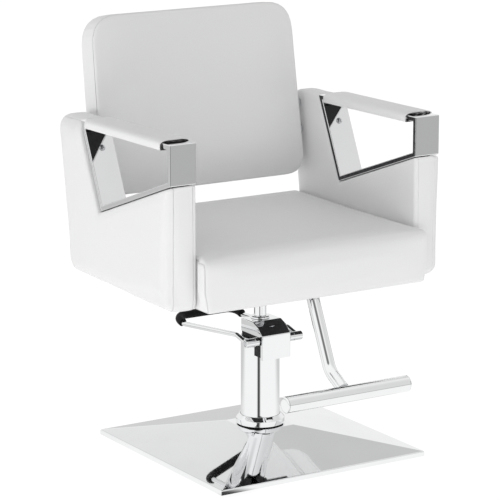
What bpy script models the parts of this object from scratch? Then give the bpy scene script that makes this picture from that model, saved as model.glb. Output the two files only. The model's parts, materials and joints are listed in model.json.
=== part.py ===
"""Hydraulic barber chair: square chromed base, pump with a foot lever, and a padded swivel seat.

Metres, +Z up, -Y forwards, +X to the sitter's left. The origin is on the floor under the pump's axis.
The chair stands at its lowest and faces forwards, with the foot lever behind it and not pressed.
"""
import math

import bmesh
import bpy
from mathutils import Matrix, Vector

# Fits
GAP = 0.0003                # air between two pieces that touch
RUN = 0.0003                # radial clearance of what turns or slides
SIDES = 24                  # sides of a round piece
BOLT_SIDES = 10             # sides of a small fastener

# Base
BASE_SIDE = 0.476
BASE_RISE = 0.038           # height of the pyramid above its edge
BASE_FLAT = 0.098           # side of the flat on top of the pyramid
SHELL_WALL = 0.0025
PLATE_THICKNESS = 0.007
FOOT_HEIGHT = 0.007
FOOT_RADIUS = 0.013
FOOT_INSET = 0.030          # foot axis to the edge of the plate

# Pump
TUBE_RADIUS = 0.039
TUBE_WALL = 0.003
TUBE_LENGTH = 0.2074
SKIRT = 0.0013              # flare of the tube at the collar
SKIRT_HEIGHT = 0.012
COLLAR_WIDTH = 0.0085       # radial width
COLLAR_BAND = 0.011
COLLAR_CHAMFER = 0.008
GASKET_THICKNESS = 0.0015
FLANGE_RADIUS = 0.062
FLANGE_THICKNESS = 0.009
CYLINDER_RADIUS = 0.020
CYLINDER_WALL = 0.003
RAM_RADIUS = 0.0124
RAM_TAPER = 0.0012          # how much thinner the ram is at its top
PISTON_LENGTH = 0.016
PISTON_RISE = 0.004         # piston above the pump's foot at its lowest
SEAL_WIDTH = 0.005
SEAL_DEPTH = 0.0025
CAP_THICKNESS = 0.0057      # plate that closes the tube
CAP_FLOOR = 0.0015          # what the lever slot leaves of that plate
BUSH_WALL = 0.003
HEAD_REAR = 0.018           # head's rear face behind the ram's axis
HEAD_DROP = 0.026           # how far the cheeks hang in front of the tube
HEAD_SLOT = 0.018           # width of the slot that the lever finger works in
CHEEK = 0.0034              # cheek wall before and behind the lever shaft
COVER_WALL = 0.0015
COVER_WIDTH = 0.067
COVER_TOP = 0.273
COVER_SLANT = 0.034         # length of the slanted front, seen from above
COVER_SHOULDER = 0.007      # fall of the first slant
COVER_FALL = 0.022          # fall of both slants
COVER_FACE = 0.050          # height of the upright front
COVER_SIDE = 0.026          # height of the side walls
COVER_ROOM = 0.003          # air between the head and the cover's front
NUT_WALL = 0.0065
NUT_HEIGHT = 0.005

# Foot lever and plunger
SHAFT_RADIUS = 0.005
SHAFT_HALF = 0.066
SHAFT_RISE = 0.0072         # shaft axis above the top of the tube
HUB_RADIUS = 0.009
HUB_LENGTH = 0.030
ROD_RADIUS = 0.005
ROD_REACH = 0.212           # far bar behind the pump's axis
ROD_HALF = 0.071            # far bar's half length
ROD_BEND = 0.022
ROD_CREST = 0.009           # first bend above the shaft
ROD_CREST_RUN = 0.040       # first bend behind the shaft
ROD_DIP = 0.008             # second bend below the shaft
ROD_END_RISE = 0.001        # far bar above the shaft
ROD_SHORT = 0.034           # second bend to the far bar
GRIP_WALL = 0.003
GRIP_START = 0.006          # second bend to the grip
FINGER_HUB = 0.007
FINGER_WIDTH = 0.010
FINGER_TIP = 0.004
FINGER_RISE = 0.014
FINGER_ARCH = 0.002         # how far the finger clears the plunger's edge
PLUNGER_RADIUS = 0.004
PLUNGER_LENGTH = 0.080
PLUNGER_HEAD = 0.007
PLUNGER_HEAD_HEIGHT = 0.002
BARREL_WALL = 0.002
BARREL_LENGTH = 0.082
SPRING_WIRE = 0.0007        # radius
SPRING_TURNS = 3
SPRING_POINTS = 9           # points in one turn

# Seat
SEAT_WIDTH = 0.500
SEAT_FRONT = -0.214
SEAT_DEPTH = 0.466
SEAT_BOTTOM = 0.362
SEAT_HEIGHT = 0.103
SEAT_CROWN = 0.003
SEAT_EDGE = 0.022           # rounding of the top edge
SEAT_TUCK = 0.004           # rounding of the bottom edge
SEAT_SHARES = (1.0, 0.3, 0.3, 0.3)  # share of both on each side, anticlockwise from the front
SEAT_CORNER = 0.014         # rounding of the corners seen from above
SEAT_DRAW = 0.002           # how far a side draws in between its corners
SEAT_FALL = 0.002           # how much lower the rear of the top lies
SEAT_WALL = 0.016           # padding round the seat board
SEAT_BOARD = 0.020
SEAT_PLATE = 0.150
SEAT_PLATE_THICKNESS = 0.005
SOCKET_WALL = 0.0075
SOCKET_LENGTH = 0.045
BOLT_RADIUS = 0.004
BOLT_HEAD = 0.0065
BOLT_HEAD_HEIGHT = 0.005
BOLT_GRIP = 0.014           # length in the board
BOLT_INSET = 0.020          # bolt to the edge of the seat plate

# Arms
ARM_GAP = 0.0008            # seat's side to the arm
ARM_THICKNESS = 0.058       # at the arm frame
ARM_BULGE = 0.006           # how far the outside swells past that
ARM_EDGE = 0.030            # rounding of the outside
ARM_SHARES = (0.2, 1.3, 1.0, 0.2, 0.2, 0.22)  # share of it on each side of the outline
ARM_INNER_EDGE = 0.008
ARM_FRONT = -0.173
ARM_BOTTOM = 0.3595         # at the front
ARM_BOTTOM_RISE = 0.011     # at the rear
ARM_TOP = 0.678
ARM_REAR = 0.278            # at the top
ARM_FRONT_CORNER = 0.014
ARM_REAR_CORNER = 0.040
ARM_NOTCH_CORNER = 0.002
ARM_BOARD = 0.018
ARM_PADDING = 0.012         # inner face to the board
ARM_MARGIN = 0.020          # board to the outline
ARM_SLOT = 0.004            # board above the open bottom of its pocket
FRAME_WIDTH = 0.057
FRAME_BAR = 0.010
FRAME_BEVEL = 0.0008
FRAME_FRONT_TOP = 0.681
FRAME_FRONT_BOTTOM = 0.602
FRAME_CORNER_Y = 0.095      # lowest corner
FRAME_CORNER_Z = 0.507
FRAME_REAR_Y = 0.172        # highest rear corner
FRAME_REAR_Z = 0.677
FRAME_SCREW_AT = 0.71       # along the rear leg, from its foot
SCREW_RADIUS = 0.0025
SCREW_LENGTH = 0.048
SCREW_HEAD = 0.0055
SCREW_HEAD_HEIGHT = 0.0025
PAD_WALL = 0.0035
PAD_LIP = 0.0025            # thickness of the lips under the bar
PAD_LIP_WIDTH = 0.005
PAD_CROWN = 0.0055          # top of the sleeve above the bar
PAD_SET_BACK = 0.030        # front of the frame to the sleeve
PAD_LENGTH = 0.290
PAD_POINTS = 10             # points of the arch

# Back
BACK_TILT = math.radians(8.3)
BACK_BOTTOM = 0.505
BACK_LENGTH = 0.364
BACK_FRONT = 0.207          # front seam at the bottom
BACK_CLEAR = 0.008          # seat's side to the back's side, at the bottom
BACK_TAPER = 0.007          # how much narrower each side is at the top
BACK_SIDE = 0.041           # depth of the side band
BACK_CROWN = 0.011
BACK_REAR = 0.017           # rounding of the rear panel
BACK_TOP_CORNER = 0.060
BACK_LOW_CORNER = 0.040
BACK_DRAW = 0.002           # how far a side draws in between its corners
BACK_WELT = 0.0015          # depth of the seam round the front panel
BACK_BOARD = 0.012
BACK_BOARD_SET = 0.012      # front seam to the board
BACK_MARGIN = 0.030         # board to the outline

# Studs
STUD_RADIUS = 0.003
STUD_GRIP = 0.014           # length in a board
SEAT_STUDS = (-0.120, 0.110)
BACK_STUDS = (0.095, 0.150)  # up the back
SHOULDER_RADIUS = 0.010     # of a back stud, between the back and the arm

# Footrest
BAR_RADIUS = 0.016
BAR_WALL = 0.002
BAR_LENGTH = 0.278
BAR_Y = -0.309
BAR_Z = 0.189
BAR_CAP = 0.003
BAR_PLUG = 0.012
STEM_RADIUS = 0.0125
STEM_WALL = 0.002
STEM_TOP_Y = -0.187
STEM_BEND_Y = -0.251
STEM_BEND_Z = 0.221
STEM_BEND = 0.045
FLANGE_PLATE = 0.004
FLANGE_WIDTH = 0.080
FLANGE_LENGTH = 0.090
FLANGE_BACK = 0.068         # stem's top to the flange's rear edge
FLANGE_BOLT_INSET = 0.013

# Levels and faces that follow from the sizes above
plate_top = FOOT_HEIGHT + PLATE_THICKNESS
lip_top = plate_top + SHELL_WALL + GAP
shell_top = lip_top + BASE_RISE
flange_top = plate_top + GAP + FLANGE_THICKNESS
tube_bottom = flange_top + GAP
tube_top = tube_bottom + TUBE_LENGTH
cap_bottom = tube_top + GAP
cap_top = cap_bottom + CAP_THICKNESS
slot_floor = cap_bottom + CAP_FLOOR
head_bottom = cap_top + GAP
skirt_radius = TUBE_RADIUS + SKIRT
gasket_bottom = shell_top + GAP
collar_bottom = gasket_bottom + GASKET_THICKNESS + GAP
collar_shoulder = collar_bottom + COLLAR_BAND
collar_top = collar_shoulder + COLLAR_CHAMFER
bush_radius = RAM_RADIUS + RUN + BUSH_WALL
shaft_y = -(TUBE_RADIUS + GAP + CHEEK + SHAFT_RADIUS)
shaft_z = tube_top + SHAFT_RISE
head_front = shaft_y - SHAFT_RADIUS - CHEEK
cover_inside = COVER_TOP - COVER_WALL
head_top = cover_inside - GAP
cover_front = head_front - COVER_WALL - COVER_ROOM
head_width = COVER_WIDTH - 2 * COVER_WALL - 2 * GAP
barrel_radius = PLUNGER_RADIUS + RUN + BARREL_WALL
plunger_y = -(CYLINDER_RADIUS + barrel_radius + 6 * RUN)
plunger_top = shaft_z + FINGER_RISE - FINGER_TIP - GAP
board_bottom = SEAT_BOTTOM + 2 * GAP
board_top = board_bottom + SEAT_BOARD
plate_under = board_bottom - GAP - SEAT_PLATE_THICKNESS
socket_top = plate_under - GAP
socket_bottom = socket_top - SOCKET_LENGTH
ram_top = socket_top - GAP
piston_bottom = flange_top + PISTON_RISE
piston_top = piston_bottom + PISTON_LENGTH
bore_radius = CYLINDER_RADIUS - CYLINDER_WALL
arm_inside = SEAT_WIDTH / 2 + ARM_GAP
arm_board_inside = arm_inside + ARM_PADDING
arm_plateau = arm_inside + ARM_THICKNESS + ARM_BULGE
frame_middle = arm_inside + ARM_THICKNESS / 2
stud_z = board_top - SEAT_BOARD / 3
flange_under = SEAT_BOTTOM - GAP - FLANGE_PLATE

parts = bpy.data.collections.new("barber_chair")
cutters = bpy.data.collections.new("cutters")


def clear_scene():
    for item in list(bpy.data.objects):
        bpy.data.objects.remove(item, do_unlink=True)
    bpy.context.scene.collection.children.link(parts)
    bpy.context.scene.collection.children.link(cutters)


def finish(name, colour, roughness, metallic=0.0):
    made = bpy.data.materials.new(name)
    made.use_nodes = True
    shader = made.node_tree.nodes["Principled BSDF"]
    shader.inputs["Base Color"].default_value = (*colour, 1.0)
    shader.inputs["Roughness"].default_value = roughness
    shader.inputs["Metallic"].default_value = metallic
    return made


chrome = finish("chrome", (0.86, 0.87, 0.88), 0.06, 1.0)
steel = finish("zinc_steel", (0.55, 0.56, 0.58), 0.35, 1.0)
casting = finish("black_casting", (0.03, 0.03, 0.032), 0.45, 0.6)
bronze = finish("bronze", (0.62, 0.43, 0.22), 0.35, 1.0)
rubber = finish("black_rubber", (0.02, 0.02, 0.02), 0.65)
vinyl = finish("white_vinyl", (0.86, 0.86, 0.86), 0.42)
plywood = finish("plywood", (0.62, 0.47, 0.30), 0.7)


def add_part(name, mesh, surface, location=(0, 0, 0), parent=None):
    mesh.materials.clear()
    mesh.materials.append(surface)
    mesh.shade_smooth()
    mesh.set_sharp_from_angle(angle=math.radians(35))
    made = bpy.data.objects.new(name, mesh)
    made.location = location
    made.parent = parent
    parts.objects.link(made)
    return made


def add_cutter(name, mesh, location=(0, 0, 0), parent=None):
    made = bpy.data.objects.new(name, mesh)
    made.location = location
    made.parent = parent
    made.hide_render = True
    made.display_type = "WIRE"
    cutters.objects.link(made)
    return made


def add_frame(name, location, rotation=(0, 0, 0)):
    made = bpy.data.objects.new(name, None)
    made.location = location
    made.rotation_euler = rotation
    parts.objects.link(made)
    return made


def cut(target, *tools):
    for tool in tools:
        change = target.modifiers.new(tool.name, "BOOLEAN")
        change.operation = "DIFFERENCE"
        change.object = tool


def to_mesh(name, bm):
    bmesh.ops.recalc_face_normals(bm, faces=bm.faces)
    mesh = bpy.data.meshes.new(name)
    bm.to_mesh(mesh)
    bm.free()
    return mesh


def boxes(name, *spans):
    """Boxes given by their low and high corners."""
    bm = bmesh.new()
    for low, high in spans:
        middle = (Vector(low) + Vector(high)) / 2
        size = Vector(high) - Vector(low)
        place = Matrix.Translation(middle) @ Matrix.Diagonal((*size, 1.0))
        bmesh.ops.create_cube(bm, size=1.0, matrix=place)
    return to_mesh(name, bm)


def pins(name, *ends, sides=BOLT_SIDES):
    """Cylinders given by their two ends and their radius."""
    bm = bmesh.new()
    for start, end, radius in ends:
        run = Vector(end) - Vector(start)
        middle = (Vector(start) + Vector(end)) / 2
        place = Matrix.Translation(middle) @ run.to_track_quat("Z", "Y").to_matrix().to_4x4()
        bmesh.ops.create_cone(bm, cap_ends=True, segments=sides, radius1=radius, radius2=radius,
                              depth=run.length, matrix=place)
    return to_mesh(name, bm)


def loft(bm, rings):
    """Closed body through rings of equal point counts, capped at both ends."""
    layers = [[bm.verts.new(point) for point in ring] for ring in rings]
    for lower, upper in zip(layers, layers[1:]):
        for index in range(len(lower)):
            bm.faces.new((lower[index - 1], lower[index], upper[index], upper[index - 1]))
    bm.faces.new(layers[0])
    bm.faces.new(layers[-1])


def circle(radius, level, sides=BOLT_SIDES):
    angles = [math.tau * index / sides for index in range(sides)]
    return [Vector((radius * math.cos(angle), radius * math.sin(angle), level)) for angle in angles]


def stepped_pin(name, steps, direction, sides=BOLT_SIDES):
    """Round pin through steps of (radius, level) along a direction."""
    turn = Vector(direction).to_track_quat("Z", "Y").to_matrix()
    bm = bmesh.new()
    loft(bm, [[turn @ point for point in circle(radius, level, sides)] for radius, level in steps])
    return to_mesh(name, bm)


def bolt(name, direction, shank, length, head, height):
    """Headed bolt whose head sits at its origin and whose shank runs along a direction."""
    return stepped_pin(name, ((head, -height), (head, 0.0), (shank, 0.0), (shank, length)), direction)


def turned(name, profile, surface, ring=False, location=(0, 0, 0), parent=None):
    """Profile of (radius, height), down its outer side, turned about Z."""
    count = len(profile)
    edges = [(index, index + 1) for index in range(count - 1)]
    if ring:
        edges.append((count - 1, 0))
    mesh = bpy.data.meshes.new(name)
    mesh.from_pydata([(radius, 0.0, height) for radius, height in profile], edges, [])
    made = add_part(name, mesh, surface, location, parent)
    screw = made.modifiers.new("turn", "SCREW")
    screw.steps = SIDES
    screw.render_steps = SIDES
    screw.use_merge_vertices = True
    screw.merge_threshold = 0.00001
    return made


def turned_ring(name, inner, outer, bottom, top, surface, location=(0, 0, 0)):
    profile = [(inner, top), (outer, top), (outer, bottom), (inner, bottom)]
    return turned(name, profile, surface, ring=True, location=location)


def bent_path(points, bend, steps=5):
    """Straight runs between the points, with an arc at each inner one."""
    points = [Vector(point) for point in points]
    path = [points[0]]
    for before, corner, after in zip(points, points[1:], points[2:]):
        back = (before - corner).normalized()
        ahead = (after - corner).normalized()
        angle = back.angle(ahead)
        sweep = math.pi - angle
        centre = corner + (back + ahead).normalized() * bend / math.sin(angle / 2)
        start = corner + back * bend / math.tan(angle / 2) - centre
        end = corner + ahead * bend / math.tan(angle / 2) - centre
        for step in range(steps + 1):
            share = sweep * step / steps
            turn = start * math.sin(sweep - share) + end * math.sin(share)
            path.append(centre + turn / math.sin(sweep))
    path.append(points[-1])
    return path


def mesh_of(guide):
    """Closed mesh of an evaluated curve object, which is then removed."""
    bpy.context.view_layer.update()
    ready = guide.evaluated_get(bpy.context.evaluated_depsgraph_get())
    mesh = bpy.data.meshes.new_from_object(ready)
    place = guide.matrix_world.copy()
    bpy.data.objects.remove(guide, do_unlink=True)
    bm = bmesh.new()
    bm.from_mesh(mesh)
    bmesh.ops.transform(bm, matrix=place, verts=bm.verts)
    bmesh.ops.remove_doubles(bm, verts=bm.verts, dist=0.00001)
    return to_mesh(mesh.name, bm)


def swept(name, path, radius, wall=None, resolution=3):
    """Round bar along a path, or a tube with open ends where a wall is given."""
    curve = bpy.data.curves.new(name, "CURVE")
    curve.dimensions = "3D"
    curve.twist_mode = "Z_UP"
    curve.bevel_depth = radius
    curve.bevel_resolution = resolution
    curve.use_fill_caps = wall is None
    spline = curve.splines.new("POLY")
    spline.points.add(len(path) - 1)
    for point, place in zip(spline.points, path):
        point.co = (*place, 1.0)
    guide = bpy.data.objects.new(name, curve)
    cutters.objects.link(guide)
    if wall is not None:
        shell = guide.modifiers.new("wall", "SOLIDIFY")
        shell.thickness = wall
        shell.offset = -1.0
        shell.use_even_offset = True
    return mesh_of(guide)


def side_plate(name, outlines, width, middle=0.0):
    """Outlines in (y, z) filled and given a width along X."""
    curve = bpy.data.curves.new(name, "CURVE")
    curve.dimensions = "2D"
    curve.fill_mode = "BOTH"
    curve.extrude = width / 2
    for outline in outlines:
        spline = curve.splines.new("POLY")
        spline.points.add(len(outline) - 1)
        spline.use_cyclic_u = True
        for point, (y, z) in zip(spline.points, outline):
            point.co = (y, z, 0.0, 1.0)
    guide = bpy.data.objects.new(name, curve)
    guide.location = (middle, 0.0, 0.0)
    guide.rotation_euler = (math.pi / 2, 0.0, math.pi / 2)
    cutters.objects.link(guide)
    return mesh_of(guide)


def inset(corners, distances):
    """Corners of a polygon, listed anticlockwise, whose edges move in by the given distances."""
    moved = []
    count = len(corners)
    for index, corner in enumerate(corners):
        before, after = corners[index - 1], corners[(index + 1) % count]
        lines = []
        for start, end, distance in ((before, corner, distances[index - 1]),
                                     (corner, after, distances[index])):
            along = (Vector(end) - Vector(start)).normalized()
            inward = Vector((-along.y, along.x))
            lines.append((Vector(corner) + inward * distance, along))
        (first, along), (second, ahead) = lines
        cross = along.x * ahead.y - along.y * ahead.x
        step = second - first
        reach = (step.x * ahead.y - step.y * ahead.x) / cross
        moved.append(first + along * reach)
    return moved


def rounded(corners, setbacks, draws, side_steps=4, arc_steps=4):
    """Polygon with its corners rounded and its sides drawn in between them."""
    count = len(corners)
    outline = []
    for index, corner in enumerate(corners):
        corner = Vector(corner)
        before = (Vector(corners[index - 1]) - corner).normalized()
        after_corner = Vector(corners[(index + 1) % count])
        after = (after_corner - corner).normalized()
        start = corner + before * setbacks[index]
        end = corner + after * setbacks[index]
        for step in range(arc_steps + 1):
            share = step / arc_steps
            outline.append(start * (1 - share) ** 2 + corner * 2 * share * (1 - share) + end * share ** 2)
        far = after_corner - after * setbacks[(index + 1) % count]
        inward = Vector((-after.y, after.x))
        for step in range(1, side_steps):
            share = step / side_steps
            outline.append(end.lerp(far, share) + inward * draws[index] * 4 * share * (1 - share))
    return outline


def padded(name, corners, setbacks, draws, shares, profile, place):
    """Padded body: the rounded outline lofted through a profile of (level, inset)."""
    bm = bmesh.new()
    rings = []
    for level, depth in profile:
        inner = inset(corners, [depth * share for share in shares])
        tight = [max(setback - depth, ARM_NOTCH_CORNER) for setback in setbacks]
        outline = rounded(inner, tight, draws)
        rings.append([place(point.x, point.y, level) for point in outline])
    loft(bm, rings)
    return to_mesh(name, bm)


def edge_profile(level, radius, towards, steps=4):
    """Quarter round of (level, inset) that leaves a side at a level and ends flat."""
    profile = []
    for step in range(steps + 1):
        angle = math.pi / 2 * step / steps
        profile.append((level + towards * radius * math.sin(angle), radius * (1 - math.cos(angle))))
    return profile


def arc(centre, radius, start, end, steps=8):
    """Points of an arc in (y, z), from one angle to another in degrees."""
    points = []
    for step in range(steps + 1):
        angle = math.radians(start + (end - start) * step / steps)
        points.append(Vector(centre) + radius * Vector((math.cos(angle), math.sin(angle))))
    return points


def make_base():
    half = BASE_SIDE / 2
    bm = bmesh.new()
    place = Matrix.Translation((0, 0, (lip_top + shell_top) / 2)) @ Matrix.Rotation(math.pi / 4, 4, "Z")
    bmesh.ops.create_cone(bm, cap_ends=True, segments=4, radius1=half * math.sqrt(2),
                          radius2=BASE_FLAT / math.sqrt(2), depth=BASE_RISE, matrix=place)
    floor = min(bm.faces, key=lambda face: face.calc_center_median().z)
    rim = list(floor.edges)
    bmesh.ops.delete(bm, geom=[floor], context="FACES_ONLY")
    lip = bmesh.ops.extrude_edge_only(bm, edges=rim)["geom"]
    drop = Vector((0, 0, FOOT_HEIGHT - lip_top))
    bmesh.ops.translate(bm, vec=drop, verts=[item for item in lip if isinstance(item, bmesh.types.BMVert)])
    shell = add_part("base_shell", to_mesh("base_shell", bm), chrome)
    wall = shell.modifiers.new("wall", "SOLIDIFY")
    wall.thickness = SHELL_WALL
    wall.offset = -1.0
    wall.use_even_offset = True
    bore = ((0, 0, lip_top), (0, 0, shell_top + SHELL_WALL), skirt_radius + GAP)
    cut(shell, add_cutter("tube_hole", pins("tube_hole", bore, sides=SIDES)))

    edge = half - SHELL_WALL - GAP
    slab = boxes("ballast_plate", ((-edge, -edge, FOOT_HEIGHT), (edge, edge, plate_top)))
    add_part("ballast_plate", slab, steel)
    reach = edge - FOOT_INSET
    foot = pins("rubber_foot", ((0, 0, 0), (0, 0, FOOT_HEIGHT - GAP), FOOT_RADIUS), sides=16)
    for y, end in ((-reach, "front"), (reach, "rear")):
        for x, tag in ((reach, "left"), (-reach, "right")):
            add_part(f"rubber_foot_{end}_{tag}", foot, rubber, (x, y, 0))


def make_pump():
    turned("pump_foot", [(0, flange_top), (FLANGE_RADIUS, flange_top), (FLANGE_RADIUS, plate_top + GAP),
                         (0, plate_top + GAP)], steel)
    inner = TUBE_RADIUS - TUBE_WALL
    turned("pump_tube", [(inner, tube_top), (TUBE_RADIUS, tube_top), (TUBE_RADIUS, collar_top + SKIRT_HEIGHT),
                         (skirt_radius, collar_top), (skirt_radius, tube_bottom), (inner, tube_bottom)],
           chrome, ring=True)
    ring = skirt_radius + GAP
    turned_ring("collar_gasket", ring, ring + COLLAR_WIDTH - 2 * SKIRT, gasket_bottom,
                gasket_bottom + GASKET_THICKNESS, rubber)
    turned("collar", [(ring, collar_top), (ring + SKIRT, collar_top), (ring + COLLAR_WIDTH, collar_shoulder),
                      (ring + COLLAR_WIDTH, collar_bottom), (ring, collar_bottom)], chrome, ring=True)
    turned_ring("ram_cylinder", bore_radius, CYLINDER_RADIUS, tube_bottom, cap_top, steel)

    tube_front = -TUBE_RADIUS - GAP
    drop = tube_top - HEAD_DROP
    opening = [(cover_front, drop - GAP), (tube_front, drop - GAP), (tube_front, slot_floor),
               (-bush_radius - CHEEK, slot_floor), (-bush_radius - CHEEK, COVER_TOP), (cover_front, COVER_TOP)]
    slot = add_cutter("finger_slot", side_plate("finger_slot", [opening], HEAD_SLOT))
    barrel_hole = add_cutter("barrel_hole", pins("barrel_hole", (
        (0, plunger_y, tube_bottom), (0, plunger_y, slot_floor + CAP_FLOOR), barrel_radius + RUN), sides=SIDES))
    cap = turned_ring("tube_cap", CYLINDER_RADIUS + GAP, TUBE_RADIUS, cap_bottom, cap_top, steel)
    cut(cap, slot, barrel_hole)

    shoulder = cover_front + COVER_SLANT
    margin = COVER_WALL + CHEEK
    outline = [(HEAD_REAR, head_bottom), (HEAD_REAR, head_top), (shoulder + margin, head_top),
               (head_front, COVER_TOP - COVER_FALL - margin), (head_front, drop), (plunger_y, drop),
               (plunger_y, head_bottom)]
    head = add_part("pump_head", side_plate("pump_head", [outline[::-1]], head_width), casting)
    seat = add_cutter("tube_seat", pins("tube_seat", (
        (0, 0, drop - GAP), (0, 0, head_bottom), TUBE_RADIUS + GAP), sides=2 * SIDES))
    bore = add_cutter("bush_bore", pins("bush_bore", (
        (0, 0, cap_top - GAP), (0, 0, COVER_TOP), bush_radius + GAP), sides=SIDES))
    bearing = add_cutter("shaft_bore", pins("shaft_bore", (
        (-head_width, shaft_y, shaft_z), (head_width, shaft_y, shaft_z), SHAFT_RADIUS + RUN), sides=SIDES))
    cut(head, seat, bore, bearing, slot)
    turned_ring("gland_bush", RAM_RADIUS + RUN, bush_radius, cap_top + GAP, COVER_TOP, bronze)
    turned_ring("gland_nut", RAM_RADIUS + RUN, RAM_RADIUS + RUN + NUT_WALL, COVER_TOP + GAP,
                COVER_TOP + GAP + NUT_HEIGHT, chrome)
    make_cover(bore)

    barrel_top = slot_floor - GAP
    turned_ring("plunger_barrel", PLUNGER_RADIUS + RUN, barrel_radius, barrel_top - BARREL_LENGTH, barrel_top,
                steel, location=(0, plunger_y, 0))


def make_cover(bore):
    """Folded sheet: flat top, two slants, an upright front and short side walls."""
    front, top = cover_front, COVER_TOP
    shoulder = front + COVER_SLANT
    knee = (front + shoulder) / 2
    low = top - COVER_FALL - COVER_FACE
    side_low = top - COVER_SIDE
    back = shaft_y - SHAFT_RADIUS - COVER_WALL
    outline = [(HEAD_REAR, top), (shoulder, top), (knee, top - COVER_SHOULDER), (front, top - COVER_FALL),
               (front, low), (back, low), (back, side_low), (HEAD_REAR, side_low)]
    folded = 4
    bm = bmesh.new()
    wall = bm.faces.new([bm.verts.new((-COVER_WIDTH / 2, y, z)) for y, z in outline])
    grown = bmesh.ops.extrude_face_region(bm, geom=[wall], use_keep_orig=True)["geom"]
    moved = [item for item in grown if isinstance(item, bmesh.types.BMVert)]
    bmesh.ops.translate(bm, vec=(COVER_WIDTH, 0, 0), verts=moved)
    middles = []
    for index in range(folded, len(outline)):
        start, end = Vector(outline[index]), Vector(outline[(index + 1) % len(outline)])
        middles.append((start + end) / 2)
    opened = []
    for face in bm.faces:
        middle = face.calc_center_median()
        if any((Vector((middle.y, middle.z)) - spot).length < GAP for spot in middles):
            opened.append(face)
    bmesh.ops.recalc_face_normals(bm, faces=bm.faces)
    bmesh.ops.delete(bm, geom=opened, context="FACES_ONLY")
    mesh = bpy.data.meshes.new("head_cover")
    bm.to_mesh(mesh)
    bm.free()
    cover = add_part("head_cover", mesh, chrome)
    sheet = cover.modifiers.new("sheet", "SOLIDIFY")
    sheet.thickness = COVER_WALL
    sheet.offset = -1.0
    sheet.use_even_offset = True
    cut(cover, bore)


def make_lever():
    pivot = add_frame("lever_pivot", (0, shaft_y, shaft_z))
    add_part("lever_shaft", pins("lever_shaft", ((-SHAFT_HALF, 0, 0), (SHAFT_HALF, 0, 0), SHAFT_RADIUS),
                                 sides=SIDES), steel, parent=pivot)
    far = ROD_REACH - shaft_y
    root = SHAFT_HALF - HUB_LENGTH / 5
    half = [(root, HUB_RADIUS / 2, 0), (root, ROD_CREST_RUN, ROD_CREST),
            (ROD_HALF, far - ROD_SHORT, -ROD_DIP), (ROD_HALF, far, ROD_END_RISE)]
    whole = [(-x, y, z) for x, y, z in half] + half[::-1]
    wire = swept("lever_rod", bent_path(whole, ROD_BEND), ROD_RADIUS)
    rod = add_part("lever_rod", wire, chrome, parent=pivot)
    near = SHAFT_HALF - HUB_LENGTH
    hubs = [((side * near, 0, 0), (side * SHAFT_HALF, 0, 0), HUB_RADIUS) for side in (-1, 1)]
    welded = rod.modifiers.new("hubs", "BOOLEAN")
    welded.operation = "UNION"
    welded.object = add_cutter("lever_hubs", pins("lever_hubs", *hubs, sides=SIDES), parent=pivot)
    reach = SHAFT_HALF + HUB_LENGTH
    bore = pins("hub_bore", ((-reach, 0, 0), (reach, 0, 0), SHAFT_RADIUS + GAP), sides=SIDES)
    spindle = add_cutter("hub_bore", bore, parent=pivot)
    cut(rod, spindle)
    bend, corner = Vector(half[2]), Vector(half[3])
    start = bend + (corner - bend).normalized() * GRIP_START
    loop = [Vector((-start.x, start.y, start.z)), Vector((-corner.x, corner.y, corner.z)), corner, start]
    sleeve = swept("lever_grip", bent_path(loop, ROD_BEND), ROD_RADIUS + 2 * GAP + GRIP_WALL, wall=GRIP_WALL)
    add_part("lever_grip", sleeve, rubber, parent=pivot)

    tip = Vector((plunger_y - shaft_y, FINGER_RISE))
    crook = Vector((FINGER_HUB, FINGER_RISE - FINGER_TIP + FINGER_ARCH))
    crown = Vector((0, FINGER_RISE + FINGER_TIP + FINGER_ARCH))
    outline = arc((0, 0), FINGER_HUB, 150, 375) + [crook] + arc(tip, FINGER_TIP, -90, 90) + [crown]
    cam = side_plate("lever_finger", [outline], FINGER_WIDTH)
    finger = add_part("lever_finger", cam, steel, parent=pivot)
    cut(finger, spindle)


def make_plunger():
    neck = plunger_top - PLUNGER_HEAD_HEIGHT
    bottom = plunger_top - PLUNGER_LENGTH
    turned("plunger", [(0, plunger_top), (PLUNGER_HEAD, plunger_top), (PLUNGER_HEAD, neck),
                       (PLUNGER_RADIUS, neck), (PLUNGER_RADIUS, bottom), (0, bottom)],
           steel, location=(0, plunger_y, 0))
    low = slot_floor + SPRING_WIRE + GAP
    high = neck - SPRING_WIRE - GAP
    radius = PLUNGER_RADIUS + SPRING_WIRE + 2 * GAP
    count = SPRING_TURNS * SPRING_POINTS
    path = []
    for index in range(count + 1):
        angle = math.tau * index / SPRING_POINTS
        height = low + (high - low) * index / count
        path.append(Vector((radius * math.cos(angle), radius * math.sin(angle), height)))
    turn_gap = (high - low) / SPRING_TURNS - 2 * SPRING_WIRE
    print("spring: gap between turns", round(turn_gap * 1000, 2), "mm")
    add_part("return_spring", swept("return_spring", path, SPRING_WIRE, resolution=1), steel,
             location=(0, plunger_y, 0))


def make_ram():
    tip = RAM_RADIUS - RAM_TAPER
    foot = piston_top + GAP
    turned("ram_rod", [(0, ram_top), (tip, ram_top), (RAM_RADIUS, socket_bottom), (RAM_RADIUS, foot), (0, foot)],
           chrome)
    radius = bore_radius - RUN
    groove = radius - SEAL_DEPTH
    middle = (piston_bottom + piston_top) / 2
    high, low = middle + SEAL_WIDTH / 2, middle - SEAL_WIDTH / 2
    turned("ram_piston", [(0, piston_top), (radius, piston_top), (radius, high), (groove, high),
                          (groove, low), (radius, low), (radius, piston_bottom), (0, piston_bottom)], steel)
    turned_ring("piston_seal", groove + GAP, radius, low + GAP, high - GAP, rubber)


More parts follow.
